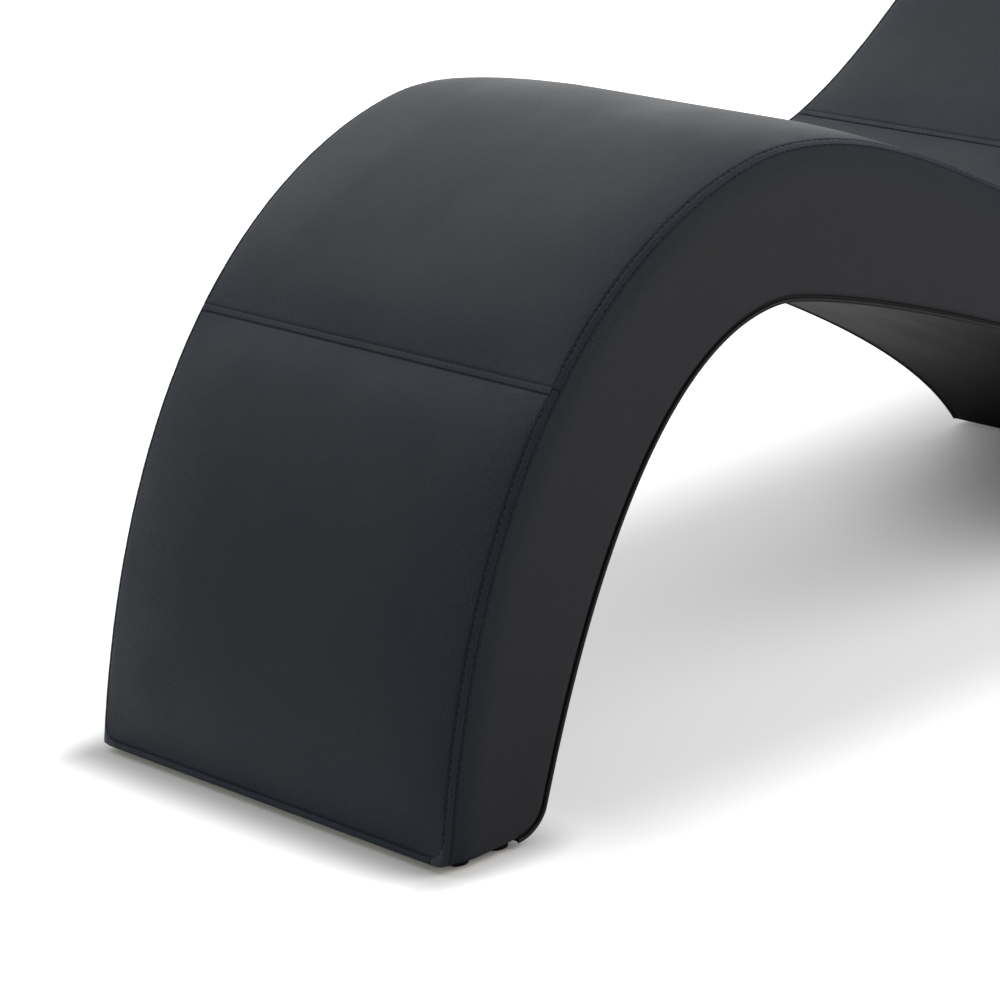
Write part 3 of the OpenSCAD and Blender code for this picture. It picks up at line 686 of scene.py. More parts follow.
def panel_heights(s, y, s0, s1, field, seed):
    """Height of a panel at rows s and columns y: crown times fullness, with small waves
    where the stitches pull and slow ones where the foam is uneven."""
    full = 1
    if field is not None:
        n, m = field.shape[0] - 2, field.shape[1] - 2
        along = knot_weights(np.clip(s[:, 0], s0, s1), s0, s1, n)
        full = along @ field @ knot_weights(np.clip(y[0], -BAND_Y, BAND_Y), -BAND_Y, BAND_Y, m).T
    edge = np.minimum(np.minimum(s - s0, s1 - s), BAND_Y - np.abs(y))
    pull = waves(s, y, PULL_WAVES, seed) * np.exp(-np.clip(edge, 0, 1) / PULL_REACH)
    foam = waves(s, y, FOAM_WAVES, seed + 1)
    return crown(s, y, s0, s1) * full + rise(edge, PULL_REACH) * (PULL_H * pull + FOAM_H * foam)


# %% [markdown]
# At both sides the top rolls over before it meets the side panel. The roll starts at the
# inner stitch line of the edge band and gets steeper outwards. Everything near the edge
# is placed by the distance along this roll and the height out of it.

# %% The rolled edge
ROLL_LEAN = 0.28
ROLL_BEND = 0.034
ROLL_END = 16 * MM


def roll_drop(u):
    """Drop of the surface at u beyond the band's inner line: 0.28 u + 0.034 u^2 in mm."""
    q = np.clip(u, 0, None) / MM
    return (ROLL_LEAN * q + ROLL_BEND * q * q) * MM


roll_u = np.linspace(0, ROLL_END, 500)
roll_a = run_along(np.stack([roll_u, roll_drop(roll_u)], axis=-1))


def rolled(a, b):
    """Place across and height over the outline of a point a along the roll and b out of it:
    the roll's own point plus b times its normal (slope, 1) / size."""
    u = np.where(a > 0, np.interp(a, roll_a, roll_u), a)
    slope = np.where(a > 0, ROLL_LEAN + 2 * ROLL_BEND * u / MM, 0)
    size = np.hypot(1, slope)
    return BAND_Y + u + b * slope / size, b / size - roll_drop(u)


print("outer edge of the band, across and over the outline", rolled(np.array([BAND_ROLL]), 0))


# %% [markdown]
# Each panel runs between two lengths along the top. Its cover is a skin of two layers,
# tucked under the bands on all sides, and its pad is a block of foam cut to the same crown,
# deeper towards the seat than at the toe.

# %% Shin, seat and back panels with their pads
panels = {
    "shin": (0.0, SHIN_S, HEM_W, CROSS_W / 2, 11),
    "seat": (SHIN_S, SEAT_S, CROSS_W / 2, CROSS_W / 2, 12),
    "back": (SEAT_S, END_S, CROSS_W / 2, BAND_W, 13),
}
PAD_DEEP = 36.5 * MM
PAD_TOE = 11.5 * MM


def pad_depth(s):
    """Depth of a pad's lower face: from the toe depth to full depth at the shin seam, along
    the curve q^2 (3 - 2q)."""
    q = np.clip(s / SHIN_S, 0, 1)
    return PAD_TOE + (PAD_DEEP - PAD_TOE) * q * q * (3 - 2 * q)


ROW_STEP = 7 * MM
SIDE_IN = 9.5 * MM
SINK = 0.4 * MM
SINK_REACH = 1.5 * MM
TUCK = 0.6 * MM
PAD_GAP = 0.9 * MM
SHADE_REACH = 1.0 * MM
TAUT_REACH = 70 * MM
y_inner = spread(-BAND_Y, BAND_Y, 73)
tucked = np.array([TUCK, 2 * MM, 6.6 * MM])
for title, (s0, s1, m0, m1, seed) in panels.items():
    seams = (s0 + m0, s1 - m1)
    field = fullness_field(*seams)
    inner_rows = spread(*seams, int((s1 - s0) / ROW_STEP))
    s_rows = np.concatenate([[s0, seams[0] - TUCK], inner_rows, [seams[1] + TUCK, s1]])[:, None]
    y_cover = np.concatenate([-BAND_Y - tucked[::-1], y_inner, BAND_Y + tucked])[None, :]
    edge = np.minimum(np.minimum(s_rows - seams[0], seams[1] - s_rows), BAND_Y - np.abs(y_cover))
    heights = panel_heights(s_rows, y_cover, *seams, field, seed)
    heights = heights - SINK * (1 - rise(edge, SINK_REACH)) - roll_drop(np.abs(y_cover) - BAND_Y)
    # Painted shade along the seams, and a stretch share below which the painted sheen tone shows beside
    # them.
    near = 0.35 * np.exp(-np.clip(edge, 0, 1) / SHADE_REACH)
    taut = 0.8 * (1 - np.exp(-np.clip(edge, 0, 1) / TAUT_REACH))
    outer = lay(TOP, s_rows, y_cover, heights)
    inner = lay(TOP, s_rows, y_cover, heights - COVER_T)
    mesh = make_mesh(f"{title}_panel_cover", [two_layers(outer, inner)],
                     crease=[two_layers(near, near)], stretch=[two_layers(taut, taut)])
    cover = add_piece(mesh, cover_leather, "cover", f"cover_{title}")
    y_pad = np.concatenate([[-(HALF_W - SIDE_IN)], y_inner[::3], [HALF_W - SIDE_IN]])[None, :]
    s_pad = np.concatenate([s_rows[:-1:3], s_rows[-1:]])
    pad_top = panel_heights(s_pad, y_pad, *seams, field, seed) - COVER_T - CLEAR - PAD_GAP
    upper = lay(TOP, s_pad, y_pad, np.maximum(pad_top, -pad_depth(s_pad) + CLEAR))
    lower = lay(TOP, s_pad, y_pad, -pad_depth(s_pad) + 0 * y_pad)
    mesh = make_mesh(f"{title}_panel_foam", [two_layers(upper, lower)])
    pad = add_piece(mesh, foam_open, "foam", f"foam_{title}")

# %% [markdown]
# ## Side panels
# A side panel is one flat cut of leather over 8 mm of foam, sewn to the edge band along
# the top and to the piping along the bottom. A flat n-sided face could fill the outline,
# but it can't swell or roll into its seams, so the outline's upper and lower edges are
# paired up and joined by a grid. The pairs are chosen at the corners of the base.

# %% Grid over the side outline
PIPING_R = 2.2 * MM
PIPING_OUT = 1.2 * MM
UPPER_IN = 4.6 * MM
LOWER_IN = 5 * MM
REAR_SHARE = 0.6
FIRST_CLOSE = 1.35
half_rows = np.array([0, 0.004, 0.009, 0.016, 0.026, 0.04, 0.06, 0.085, 0.115, 0.15, 0.19, 0.235, 0.285,
                      0.34, 0.395, 0.45])
side_rows = np.concatenate([half_rows, [0.5], 1 - half_rows[::-1]])


def resample(line, shares):
    """Points of a polyline at shares of its length."""
    run = run_along(line)
    return np.stack([np.interp(shares * run[-1], run, line[:, k]) for k in (0, 1)], axis=-1)


def border_pairs(upper_in, lower_in, columns):
    """Lower and upper border points of a side panel in pairs, at given depths under the top
    and inside the arch and rear. The upper border is cut over the arch's top, over the
    base's front corner and over its rear corner, and each stretch is paired with the one
    below it. The first pairs are close together, for the small corner of the leg."""
    s_top = np.linspace(0, END_S, 900)
    upper = at(TOP, s_top, "p") + at(TOP, s_top, "n") * upper_in
    s_arch = np.linspace(ARCH["s"][-1], 0, 900)
    arch = at(ARCH, s_arch, "p") + at(ARCH, s_arch, "n") * lower_in
    arch[:, 1] = np.maximum(arch[:, 1], BASE_Z)
    s_rear = np.linspace(REAR["s"][-1], 0, 400)
    rear = at(REAR, s_rear, "p") + at(REAR, s_rear, "n") * lower_in
    front_cut = np.argmin(np.abs(upper[:, 0] - (ARCH_END_X + TOE_X))) / (len(upper) - 1)
    rear_cut = front_cut + REAR_SHARE * (HEAD_S / END_S - front_cut)
    top_index = int(np.argmax(arch[:, 1]))
    lowers = [arch[:top_index + 1], arch[top_index:], np.array([arch[-1], rear[0]]), rear]
    cuts = [0, CREST_S / END_S, front_cut, rear_cut, 1]
    low, high = [], []
    for k, (line, count) in enumerate(zip(lowers, columns)):
        u = np.linspace(0, 1, count + 1)[(0 if k == 0 else 1):] ** (FIRST_CLOSE if k == 0 else 1)
        low.append(resample(line, u))
        high.append(resample(upper, cuts[k] + (cuts[k + 1] - cuts[k]) * u))
    return np.vstack(low), np.vstack(high)


# %% [markdown]
# The side panel swells away from its upper seam and rolls in beside the piping, so its
# depth follows from the distance to each border. The distance is measured to the border's
# straight pieces, because the distance to its nearest point alone would leave ripples.

# %% Shell of a side panel
SIDE_OUT = HALF_W - 1.5 * MM
SIDE_SWELL = 2.5 * MM
SIDE_SWELL_REACH = 30 * MM
ROLL_UNDER = 1.8 * MM
ROLL_UNDER_REACH = 4.5 * MM
SIDE_WAVE_H = 0.3 * MM
SIDE_WAVES = [140 * MM, 210 * MM, 330 * MM]
CALM_REACH = 40 * MM
TONE_FROM = 6 * MM
TONE_REACH = 30 * MM


def border_distance(points, line):
    """Distance of each point p from a border line: the least over its pieces a to b of
    |p - a - t (b - a)|, with t = (p - a).(b - a) / |b - a|^2 kept between 0 and 1."""
    piece = np.diff(line, axis=0)
    gap = points[..., None, :] - line[:-1]
    t = np.clip((gap * piece).sum(-1) / np.maximum((piece**2).sum(-1), 1e-12), 0, 1)
    return np.linalg.norm(gap - t[..., None] * piece, axis=-1).min(-1)


def side_shell(side, upper_in, lower_in, columns, rows, shift, y_in=None):
    """Rings of a side panel: straight lines between the paired borders, pushed out by rise
    from the upper border and rolled in beside the piping. The inner layer follows the outer
    one at the cover's thickness, or lies flat at y_in."""
    low, high = border_pairs(upper_in, lower_in, columns)
    v = rows[None, :, None]
    flat = low[:, None] * (1 - v) + high[:, None] * v
    x, z = flat[..., 0], flat[..., 1]
    d_up = border_distance(flat, high) + (upper_in - UPPER_IN)
    d_low = np.minimum(border_distance(flat, low) + (lower_in - LOWER_IN), z - BASE_Z)
    out = SIDE_OUT + SIDE_SWELL * rise(d_up, SIDE_SWELL_REACH)
    out = out - ROLL_UNDER * (1 - rise(d_low, ROLL_UNDER_REACH))
    out = out - SINK * np.exp(-(d_up / SHADE_REACH) ** 2)
    calm = rise(d_up, CALM_REACH) * rise(d_low, CALM_REACH)
    out = out + calm * SIDE_WAVE_H * waves(x, z, SIDE_WAVES, 31) - shift
    outer = np.stack([x, side * out, z], axis=-1)
    back = out - COVER_T if y_in is None else np.full_like(out, y_in)
    inner = np.stack([x, side * back, z], axis=-1)
    # Painted shade along both seams, darkest in the groove by the piping, and a stretch share below which
    # the painted cool sheen tone shows beside the upper seam.
    near = np.maximum(np.exp(-d_up / (0.9 * MM)) * 0.6, np.exp(-(d_low / (1.1 * MM)) ** 2) * 0.95)
    q = np.clip((d_up - TONE_FROM) / TONE_REACH, 0, 1)
    taut = 0.9 * q * q * (3 - 2 * q)
    return two_layers(outer, inner), two_layers(near, near), two_layers(taut, taut)


# %% Side panels and their foam
FOAM_UPPER_IN = 8 * MM
FOAM_LOWER_IN = 13 * MM
FOAM_SHIFT = 1.7 * MM
for side, hand in SIDES:
    rings, near, taut = side_shell(side, UPPER_IN, LOWER_IN, (130, 120, 40, 90), side_rows, 0)
    mesh = make_mesh(f"side_panel_{hand}", [rings], crease=[near], stretch=[taut])
    panel = add_piece(mesh, side_leather, "cover", f"side_cover_{hand}")
    rings, _, _ = side_shell(side, FOAM_UPPER_IN, FOAM_LOWER_IN, (40, 50, 12, 36), np.linspace(0, 1, 9),
                             FOAM_SHIFT, HALF_W - SIDE_IN)
    pad = add_piece(make_mesh(f"side_foam_pad_{hand}", [rings]), foam_open, "foam", f"side_foam_{hand}")

# %% [markdown]
# ## Underside and rear
# The arch and the rear are lined with one length of leather each, stapled under the base.
# It is pulled tight lengthways only, so faint slanted folds run across it, which are waves
# a millimetre high with their crests along a diagonal.

# %% Arch and rear covers
LINING_Y = HALF_W - 3.5 * MM
LINING_STEP = 6 * MM
FOLD = 170 * MM
FOLD_SHORT = 97 * MM
FOLD_DRIFT = [300 * MM, 420 * MM]
FOLD_CALM = 90 * MM
END_CALM = 100 * MM


def lining_cover(name, path, node, folds):
    """A cover along a path between the pipings, with slanted folds of the given height."""
    end = path["s"][-1]
    s = np.linspace(0, end, int(end / LINING_STEP))[:, None]
    y = spread(-LINING_Y, LINING_Y, 61)[None, :]
    slant = (s * 0.8 + y) * 2 * math.pi
    fold = np.sin(slant / FOLD) + 0.6 * np.sin(slant / FOLD_SHORT + 1)
    fold = fold * (0.6 + 0.4 * waves(s, y, FOLD_DRIFT, 41))
    inset = LINING_Y - np.abs(y)
    calm = rise(inset, FOLD_CALM) * rise(s, END_CALM) * rise(end - s, END_CALM)
    h = -CLEAR - folds * 0.25 * (1 - fold) * calm
    outer = lay(path, s, y, h)
    inner = lay(path, s, y, -COVER_T + 0 * h)
    # Painted shade beside the pipings and towards the start of the path, which for the arch is its foot at
    # the base.
    near = np.maximum(np.exp(-inset / (1.5 * MM)) * 0.9, np.exp(-s / (110 * MM)) * 0.7)
    mesh = make_mesh(name, [two_layers(outer, inner)], crease=[two_layers(near, near)])
    add_piece(mesh, lining_leather, "cover", node)


lining_cover("arch_lining_cover", ARCH, "arch_cover", 1.2 * MM)
lining_cover("rear_lining_cover", REAR, "rear_cover", 1.0 * MM)

# %% [markdown]
# ## Seam bands
# Both edges of the top, and the two cross seams, carry a raised band: the seam allowance
# is folded to one side and stitched down along both of its edges. In section it is a low
# pillow between two stitch channels. The section is one ring of points, carried along the
# outline for the edges and across the lounger for the cross seams.

# %% Band sections
PITCH = 7.5 * MM
LINE = 0.9 * MM
FILLET = 20 * MM
LUMP_H = 0.1 * MM
PUFF_H = 0.06 * MM
SEAM_TUCK_AT = 2.5 * MM
SEAM_TUCK_W = 0.9 * MM
RAIL = 2.2 * MM
FINE_END = 30 * MM


def band_section(width):
    """Ring of places a across a band, heights b and painted shade: a stitch channel at 0.9 mm
    from each edge, a low pillow between them and an underside half a millimetre down. The
    painted shade lies in the channels and along both edges."""
    w = width / MM
    ring = np.array([
        [0, -0.5, 1], [0, 0.05, 0.4], [0.4, 0.2, 0.35], [0.9, 0.1, 0.6], [1.3, 0.25, 0.1], [2.2, 0.38, 0],
        [3.2, 0.45, 0], [w / 2, 0.55, 0], [w - 3.2, 0.62, 0], [w - 2.2, 0.66, 0], [w - 1.3, 0.6, 0.05],
        [w - 0.9, 0.15, 0.7], [w - 0.4, 0.15, 0.5], [w, -0.1, 0.6], [w, -0.8, 1], [0.75 * w, -0.5, 0],
        [0.5 * w, -0.5, 0], [0.25 * w, -0.5, 0]])
    return ring[:, 0] * MM, ring[:, 1] * MM, ring[:, 2]


def fillet(s, a):
    """Where an offset a of the edge band's inner line runs at length s: near the hem it
    follows a circle, sqrt((R + a)^2 - d^2) - R with d the distance before the arc's centre."""
    d = np.clip(HEM_W + FILLET - s, 0, None)
    arc = np.sqrt(np.clip((FILLET + a) ** 2 - d**2, 0, None)) - FILLET
    keep = np.clip((a - RAIL) / (BAND_ROLL - 2 * RAIL), 0, 1)
    return arc * (1 - keep) + a * keep


def edge_band(side):
    """Rings of an edge band along the whole top with their painted shade. Each cross seam runs
    on over it as a small tuck, darker there with painted shade, and the leather puffs between
    the stitches."""
    tucks = [SHIN_S + SEAM_TUCK_AT, SEAT_S + SEAM_TUCK_AT]
    s = np.concatenate([np.linspace(0, FINE_END, 60), np.arange(FINE_END + MM, END_S, PITCH / 5), [END_S]]
                       + [place + np.linspace(-2, 2, 9) * MM for place in tucks])
    s = np.unique(s)[:, None]
    a, b, dark = (part[None, :] for part in band_section(BAND_ROLL))
    tuck = sum(np.exp(-((s - place) / SEAM_TUCK_W) ** 2) for place in tucks)
    puff = PUFF_H * np.cos(2 * math.pi * s / PITCH) * np.exp(-(a - 2 * MM) ** 2 / (1.2 * MM) ** 2)
    lump = LUMP_H * waves(s, 0 * s, [23 * MM, 41 * MM], 51)
    start = np.sqrt(rise(s, 1.4 * MM))
    height = np.where(b > 0, b * start * (1 - 0.6 * tuck) + puff + lump, b)
    y, h = rolled(fillet(s, a), height)
    return lay(TOP, s, side * y, h), np.clip(dark + 0.9 * tuck, 0, 1)


# %% [markdown]
# The cross bands have the same section, laid along the outline and carried from side to
# side. The hem has one channel only, because its lower edge is turned under the toe.

# %% Cross bands and hem
def cross_band(s_mid, width, y_edge, sunk):
    """Rings of a band across the lounger: its section laid along the outline and carried
    from side to side. It sinks as it runs under the edge bands."""
    y = np.linspace(-y_edge, y_edge, 361)[:, None]
    a, b, dark = (part[None, :] for part in band_section(width))
    end = 1 - sunk * (1 - rise(y_edge - np.abs(y), 3 * MM))
    lump = LUMP_H * waves(y, 0 * y, [27 * MM, 43 * MM], 52)
    height = np.where(b > 0, b * end + lump * end, b)
    # Painted shade in the channels and along the edges, at 0.6 of the edge bands'.
    return lay(TOP, s_mid - width / 2 + a, y, height), 0.6 * dark + 0 * y


def hem_band():
    """Rings of the hem over the toe's lower edge: one channel along its top and a round
    lower edge, between the places where the edge bands' inner lines turn into it."""
    y = np.linspace(-BAND_Y + FILLET - 0.5 * MM, BAND_Y - FILLET + 0.5 * MM, 241)[:, None]
    w = HEM_W / MM
    ring = np.array([
        [0, -0.5, 1], [0, 0.2, 0.2], [0.3, 0.7, 0], [1.0, 0.97, 0], [2.4, 1.0, 0], [w - 2.2, 0.75, 0],
        [w - 1.4, 0.5, 0.05], [w - 0.9, 0.2, 0.25], [w - 0.4, 0.25, 0.15], [w, 0.05, 0.5], [w, -0.6, 1],
        [w / 2, -0.5, 0]])
    a, b, dark = (ring[None, :, k] for k in range(3))
    lump = LUMP_H * waves(y, 0 * y, [27 * MM, 43 * MM], 53)
    # Painted shade in the channel and along the turned edges.
    return lay(TOP, a * MM, y, b * MM + np.where(b > 0, lump, 0)), dark + 0 * y


# %% Bands as pieces
for side, hand in SIDES:
    rings, dark = edge_band(side)
    mesh = make_mesh(f"edge_seam_band_{hand}", [rings], crease=[dark])
    add_piece(mesh, band_leather, "seam_band", f"edge_band_{hand}")
bands = {
    "shin_seam_band": ("shin_band", cross_band(SHIN_S, CROSS_W, BAND_Y + 0.8 * MM, 0.6)),
    "seat_seam_band": ("seat_band", cross_band(SEAT_S, CROSS_W, BAND_Y + 0.8 * MM, 0.6)),
    "head_seam_band": ("head_band", cross_band(END_S - BAND_W / 2, BAND_W, BAND_Y + 0.8 * MM, 0)),
    "toe_hem_band": ("toe_hem", hem_band()),
}
# These bands carry no stretch share, so they show the cover's painted sheen tone all over.
for title, (node, (rings, dark)) in bands.items():
    add_piece(make_mesh(title, [rings], crease=[dark]), cover_leather, "seam_band", node)

# %% [markdown]
# ## Stitches
# Topstitching is sunk into the two channels of each band: 7.5 mm from stitch to stitch
# with a short gap where the thread dives through the leather. Each stitch is a tiny
# capsule of six sides and four rings. One template is copied to all places at once by
# adding arrays, which is quick and keeps the face count low.

# %% One mesh of stitches
STITCH_L = 5.6 * MM
THREAD_R = 0.45 * MM
SLANT = math.radians(4)


def stitch_mesh(name, rows):
    """All stitches of some rows. Each row gives centres, directions along the seam and
    directions out of the leather, and a stitch is the template turned to these."""
    rings = np.array([[-0.5, 0.35], [-0.32, 1], [0.32, 1], [0.5, 0.35]])
    turn = np.arange(6) * math.pi / 3
    along = np.repeat(rings[:, 0] * STITCH_L, 6)
    across = (rings[:, 1:] * np.cos(turn)).ravel() * THREAD_R + along * math.sin(SLANT)
    up = (rings[:, 1:] * np.sin(turn)).ravel() * THREAD_R
    up = up + np.repeat([-0.7, 0, 0, -0.7], 6) * THREAD_R
    centres, tangents, outs = (np.vstack(part) for part in zip(*rows))
    sides = np.cross(tangents, outs)
    points = (centres[:, None] + along[:, None] * tangents[:, None] + across[:, None] * sides[:, None]
              + up[:, None] * outs[:, None])
    quads = (ring_quads(4, 6)[None] + 24 * np.arange(len(centres))[:, None, None]).reshape(-1, 4)
    return closed_mesh(name, points.reshape(-1, 3), quads)


# %% [markdown]
# A row of stitches is a line of places (s, a) on the top. The place, the direction of
# travel and the direction outwards are all taken from points laid on the surface, so one
# function serves straight rows, rows across, and the row that turns from the edge into
# the hem.

# %% Rows of stitches
def stitch_row(s, a, side=1, height=0.05 * MM):
    """Centres, travel and outward directions along a line of lengths s and places a from
    the band's inner line, taken at even steps of one stitch pitch along the line. Travel is
    the step between neighbours and outward is travel crossed with the way across."""
    y, h = rolled(a, height)
    line = lay(TOP, s, side * y, h)
    run = run_along(line)
    places = np.arange(0.6 * PITCH, run[-1] - 0.5 * PITCH, PITCH)
    s_at, a_at = np.interp(places, run, s), np.interp(places, run, a)
    ds, da = np.gradient(s, run), np.gradient(a, run)
    step = 0.5 * MM

    def place(move_s, move_a):
        """Points of the row moved by small amounts along s and a."""
        y_moved, h_moved = rolled(a_at + move_a, height)
        return lay(TOP, s_at + move_s, side * y_moved, h_moved)

    along_s = place(step, 0) - place(-step, 0)
    along_a = place(0, step) - place(0, -step)
    travel = along_s * np.interp(places, run, ds)[:, None] + along_a * np.interp(places, run, da)[:, None]
    outs = side * np.cross(along_s, along_a)
    unit = [part / np.linalg.norm(part, axis=1, keepdims=True) for part in (travel, outs)]
    return place(0, 0), unit[0], unit[1]


# %% [markdown]
# Both edge bands carry two rows, and the inner one turns into the hem. Each cross seam
# carries a row on both sides, and the head band one on its lower side, the only one seen.

# %% Stitched seams
def turned_line():
    """Lengths and places of the row that comes down the edge band's inner line, turns on a
    circle and runs to the middle of the hem."""
    down = np.linspace(END_S, HEM_W + FILLET, 900)
    turn = np.linspace(0, math.pi / 2, 30)[1:]
    radius = FILLET + LINE
    arc_s = HEM_W + FILLET - radius * np.sin(turn)
    arc_a = -FILLET + radius * np.cos(turn)
    level = np.linspace(-FILLET, -BAND_Y, 60)[1:]
    s = np.concatenate([down, arc_s, np.full(len(level), arc_s[-1])])
    return s, np.concatenate([np.full(len(down), LINE), arc_a, level])


def row_across(s):
    """A row across the lounger at length s: places from one edge band to the other."""
    a = np.linspace(-2 * BAND_Y + LINE, -LINE, 300)
    return stitch_row(np.full(len(a), s), a)


s_full = np.linspace(0.5 * MM, END_S, 900)
stitch_sets = {}
for side, hand in SIDES:
    outer_line = stitch_row(s_full, np.full(900, BAND_ROLL - LINE), side)
    stitch_sets[f"edge_stitching_{hand}"] = [stitch_row(*turned_line(), side), outer_line]
stitch_sets["cross_stitching"] = [
    row_across(SHIN_S - CROSS_W / 2 + LINE), row_across(SHIN_S + CROSS_W / 2 - LINE),
    row_across(SEAT_S - CROSS_W / 2 + LINE), row_across(SEAT_S + CROSS_W / 2 - LINE),
    row_across(END_S - BAND_W + LINE),
]
for title, rows in stitch_sets.items():
    add_piece(stitch_mesh(title, rows), thread, "seam_band")

# %% [markdown]
# ## Piping
# A cord wrapped in leather is sewn between the side panels and the arch cover. Its round
# front catches a thin line of light, and the groove beside it is dark with painted shade. Its
# flat tail, the flange, lies behind the side panel, and a thin strip stands for it.

# %% Piping along the arch and the rear
TWIST = 2.6 * MM
CORD_STEP = 3 * MM
CORD_SIDES = 18
FLANGE = np.array([[1.7, 3.1, 3.1, 1.7], [1, 1, 12, 12]]) * MM


def piping(name, path, side, node):
    """A cord and its flange along a path: a circle of points and a thin upright strip, both
    carried along the path and kept in one mesh. The flange and the side of the cord that
    faces the side panel are dark with painted shade, deep in the seam."""
    s = np.linspace(0, path["s"][-1], int(path["s"][-1] / CORD_STEP))[:, None]
    turn = math.pi + np.arange(CORD_SIDES)[None, :] * 2 * math.pi / CORD_SIDES
    y_mid = HALF_W + PIPING_OUT - PIPING_R
    depth_mid = PIPING_R - PIPING_OUT
    cord = lay(path, s, side * (y_mid + PIPING_R * np.sin(turn)), PIPING_R * np.cos(turn) - depth_mid)
    flange = lay(path, s, side * (HALF_W - FLANGE[:1]), -FLANGE[1:])
    # Painted shade: on the side of the cord that faces the groove, and all over the flange.
    dark = [0 * s + np.clip(0.3 - 1.1 * np.cos(turn), 0, 0.95), np.ones(flange.shape[:2])]
    wound = [s / TWIST + turn / (2 * math.pi), np.zeros(flange.shape[:2])]
    mesh = make_mesh(name, [cord, flange], crease=dark, twist=wound)
    add_piece(mesh, piping_leather, "piping", node)


for side, hand in SIDES:
    piping(f"arch_piping_cord_{hand}", ARCH, side, f"arch_piping_{hand}")
    piping(f"rear_piping_cord_{hand}", REAR, side, f"rear_piping_{hand}")

# %% [markdown]
# ## Studio
# Three wide soft lamps behind the lounger's far side give the broad sheen on the hump. A
# stronger one on the near side, towards the head, lights the side panel and throws the soft
# shadow under the arch, and a dim sky fills the rest. Floor and sky turn white only where
# the camera or a reflection sees them, so white doesn't come from more light on the
# lounger. That lift is held back under the lounger, where the photograph has its shadow.

# %% Floor
FLOOR = 14.0
BASE_AT = (0.4, 0, 0)
FOOT_AT, FOOT_HALF = (-0.83, 0, 0), (0.045, 0.3, 0)
ARCH_AT, ARCH_HALF = (-0.12, 0, 0), (0.55, 0.27, 0)
floor_mesh = bpy.data.meshes.new("studio_floor")
floor_mesh.from_pydata([(-FLOOR, -FLOOR, 0), (FLOOR, -FLOOR, 0), (FLOOR, FLOOR, 0), (-FLOOR, FLOOR, 0)],
                       [], [(0, 1, 2, 3)])
floor = new_object("studio_floor", floor_mesh)
paper, tree = new_material("white_studio_paper")
spot = add_node(tree, "TexCoord").outputs["Object"]


def seen_rays(tree):
    """1 for camera, glossy and transmission rays, else 0."""
    path = add_node(tree, "LightPath")
    seen = path.outputs["Is Camera Ray"]
    for kind in ("Is Glossy Ray", "Is Transmission Ray"):
        seen = add_node(tree, "Math", {0: seen, 1: path.outputs[kind]}, operation="MAXIMUM")
    return seen


def floor_distance(centre, half_size):
    """Distance of a floor point from a rectangle: the length of (|p - centre| - half_size)
    where that is above nothing."""
    move = add_node(tree, "VectorMath", {0: spot, 1: centre}, operation="SUBTRACT")
    size = add_node(tree, "VectorMath", {0: move}, operation="ABSOLUTE")
    over = add_node(tree, "VectorMath", {0: size, 1: half_size}, operation="SUBTRACT")
    kept = add_node(tree, "VectorMath", {0: over, 1: (0, 0, 0)}, operation="MAXIMUM")
    return add_node(tree, "VectorMath", {0: kept}, operation="LENGTH").outputs["Value"]


def eased(value, near, far, low, high):
    """A value carried smoothly from low at near to high at far."""
    return add_node(tree, "MapRange", {"Value": value, "From Min": near, "From Max": far,
                    "To Min": low, "To Max": high}, interpolation_type="SMOOTHSTEP")


from_base = floor_distance(BASE_AT, (0, 0, 0))
from_foot = floor_distance(FOOT_AT, FOOT_HALF)
from_arch = floor_distance(ARCH_AT, ARCH_HALF)
# The camera-seen glow is least near the base and under the arch and falls to a tenth at the foot: painted
# shadow there, on top of the lamps' own shadow.
lift = add_node(tree, "Math", {0: eased(from_base, 0.2, 0.5, 0.06, 0.3),
                1: eased(from_arch, 0, 0.3, 0, 0.5)}, operation="ADD")
lift = add_node(tree, "Math", {0: lift, 1: eased(from_foot, 0, 0.07, 0.1, 1)}, operation="MULTIPLY")
lift = add_node(tree, "Math", {0: seen_rays(tree), 1: lift}, operation="MULTIPLY")
matt = add_node(tree, "BsdfDiffuse", {"Color": linear("#f2f2f2")})
glow = add_node(tree, "Emission", {"Color": (1, 1, 1, 1), "Strength": lift})
both = add_node(tree, "AddShader", {0: matt, 1: glow})
add_node(tree, "OutputMaterial", {"Surface": both})
floor_mesh.materials.append(paper)

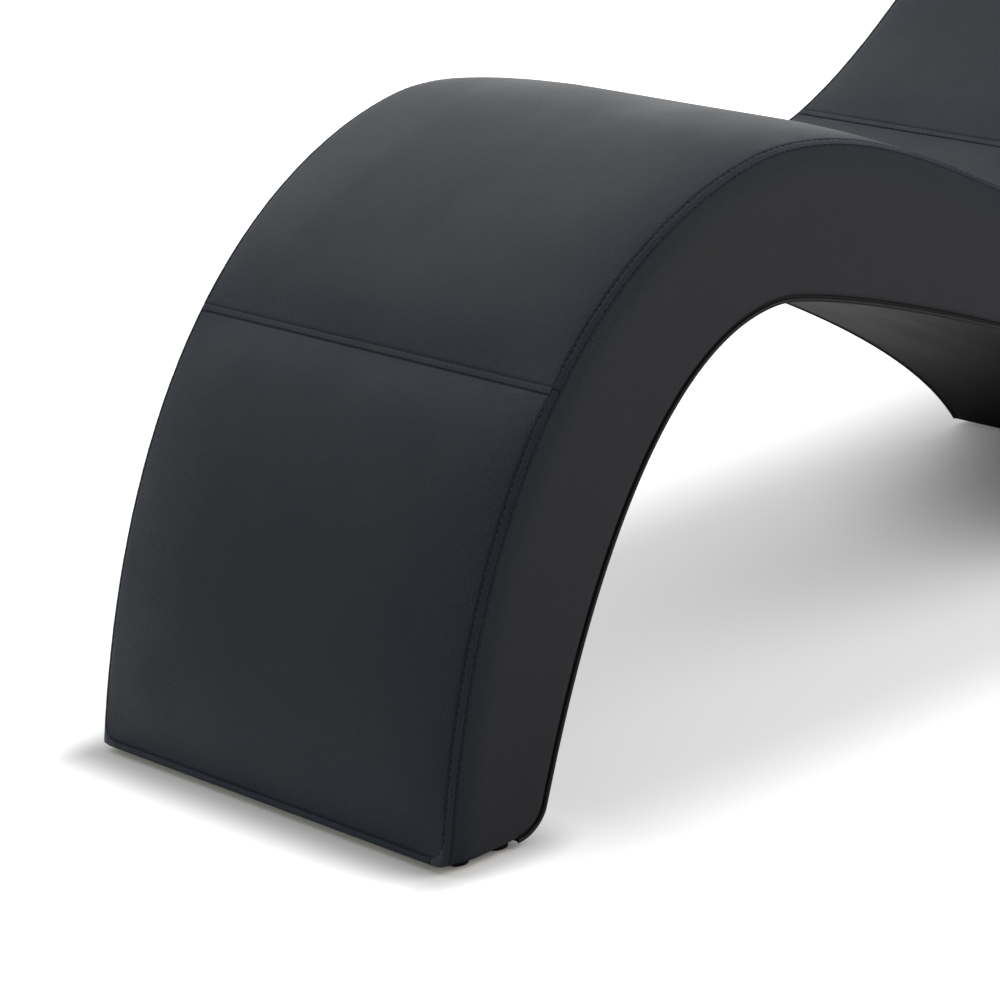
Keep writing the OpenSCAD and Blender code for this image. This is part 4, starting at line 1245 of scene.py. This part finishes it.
# %% Sky and lamps
scene = bpy.context.scene
scene.view_settings.view_transform = "Standard"
world = bpy.data.worlds.new("studio_sky")
world.use_nodes = True
scene.world = world
sky = world.node_tree
sky.nodes.clear()
SKY_LEVEL = 0.2
SOFTBOX_SIZE = 3.2
AIM = np.array([-0.3, 0.0, 0.3])
strength = add_node(sky, "MapRange", {"Value": seen_rays(sky), "To Min": SKY_LEVEL, "To Max": 1.0})
air = add_node(sky, "Background", {"Color": (1, 1, 1, 1), "Strength": strength})
add_node(sky, "OutputWorld", {"Surface": air})


def softbox(name, place, power):
    """A square area lamp at a place, turned to face the lounger."""
    lamp = bpy.data.lights.new(name, "AREA")
    lamp.shape = "SQUARE"
    lamp.size = SOFTBOX_SIZE
    lamp.energy = power
    holder = new_object(name, lamp)
    holder.location = place
    holder.rotation_mode = "QUATERNION"
    holder.rotation_quaternion = Vector(np.array(place) - AIM).to_track_quat("Z", "Y")


softbox("left_softbox", (-1.27, 2.67, 2.52), 25)
softbox("back_softbox", (1.73, 3.82, 1.54), 19)
softbox("high_softbox", (-0.3, 2.29, 3.58), 26)
softbox("side_softbox", (1.78, -2.97, 1.99), 145)

# %% [markdown]
# ## Camera
# The photograph is a crop of a larger picture: the lens looked past the lounger's foot
# and the camera was tilted a little. The position, heading, dip and roll were found by
# matching the outline, seams and arch of the side profile, and need no lens shift.

# %% Camera
FOCAL_PX = 5578.9
IMAGE_PX = 1000
HEADING = 0.998601
DIP = 0.301625
ROLL_ANGLE = -0.164349
CAMERA_AT = (TOE_X - 2.5219, -4.4174, 1.8521)

forward = np.array([math.cos(DIP) * math.cos(HEADING), math.cos(DIP) * math.sin(HEADING), -math.sin(DIP)])
level = np.array([math.sin(HEADING), -math.cos(HEADING), 0])
upright = np.cross(level, forward)
right = level * math.cos(ROLL_ANGLE) + upright * math.sin(ROLL_ANGLE)
up = -level * math.sin(ROLL_ANGLE) + upright * math.cos(ROLL_ANGLE)
camera_data = bpy.data.cameras.new("photo_camera")
camera_data.sensor_width = 36
camera_data.lens = FOCAL_PX / IMAGE_PX * camera_data.sensor_width
camera_data.clip_end = 100
camera = new_object("photo_camera", camera_data)
turned = Matrix(np.stack([right, up, -forward], axis=1).tolist()).to_4x4()
turned.translation = CAMERA_AT
camera.matrix_world = turned
scene.camera = camera
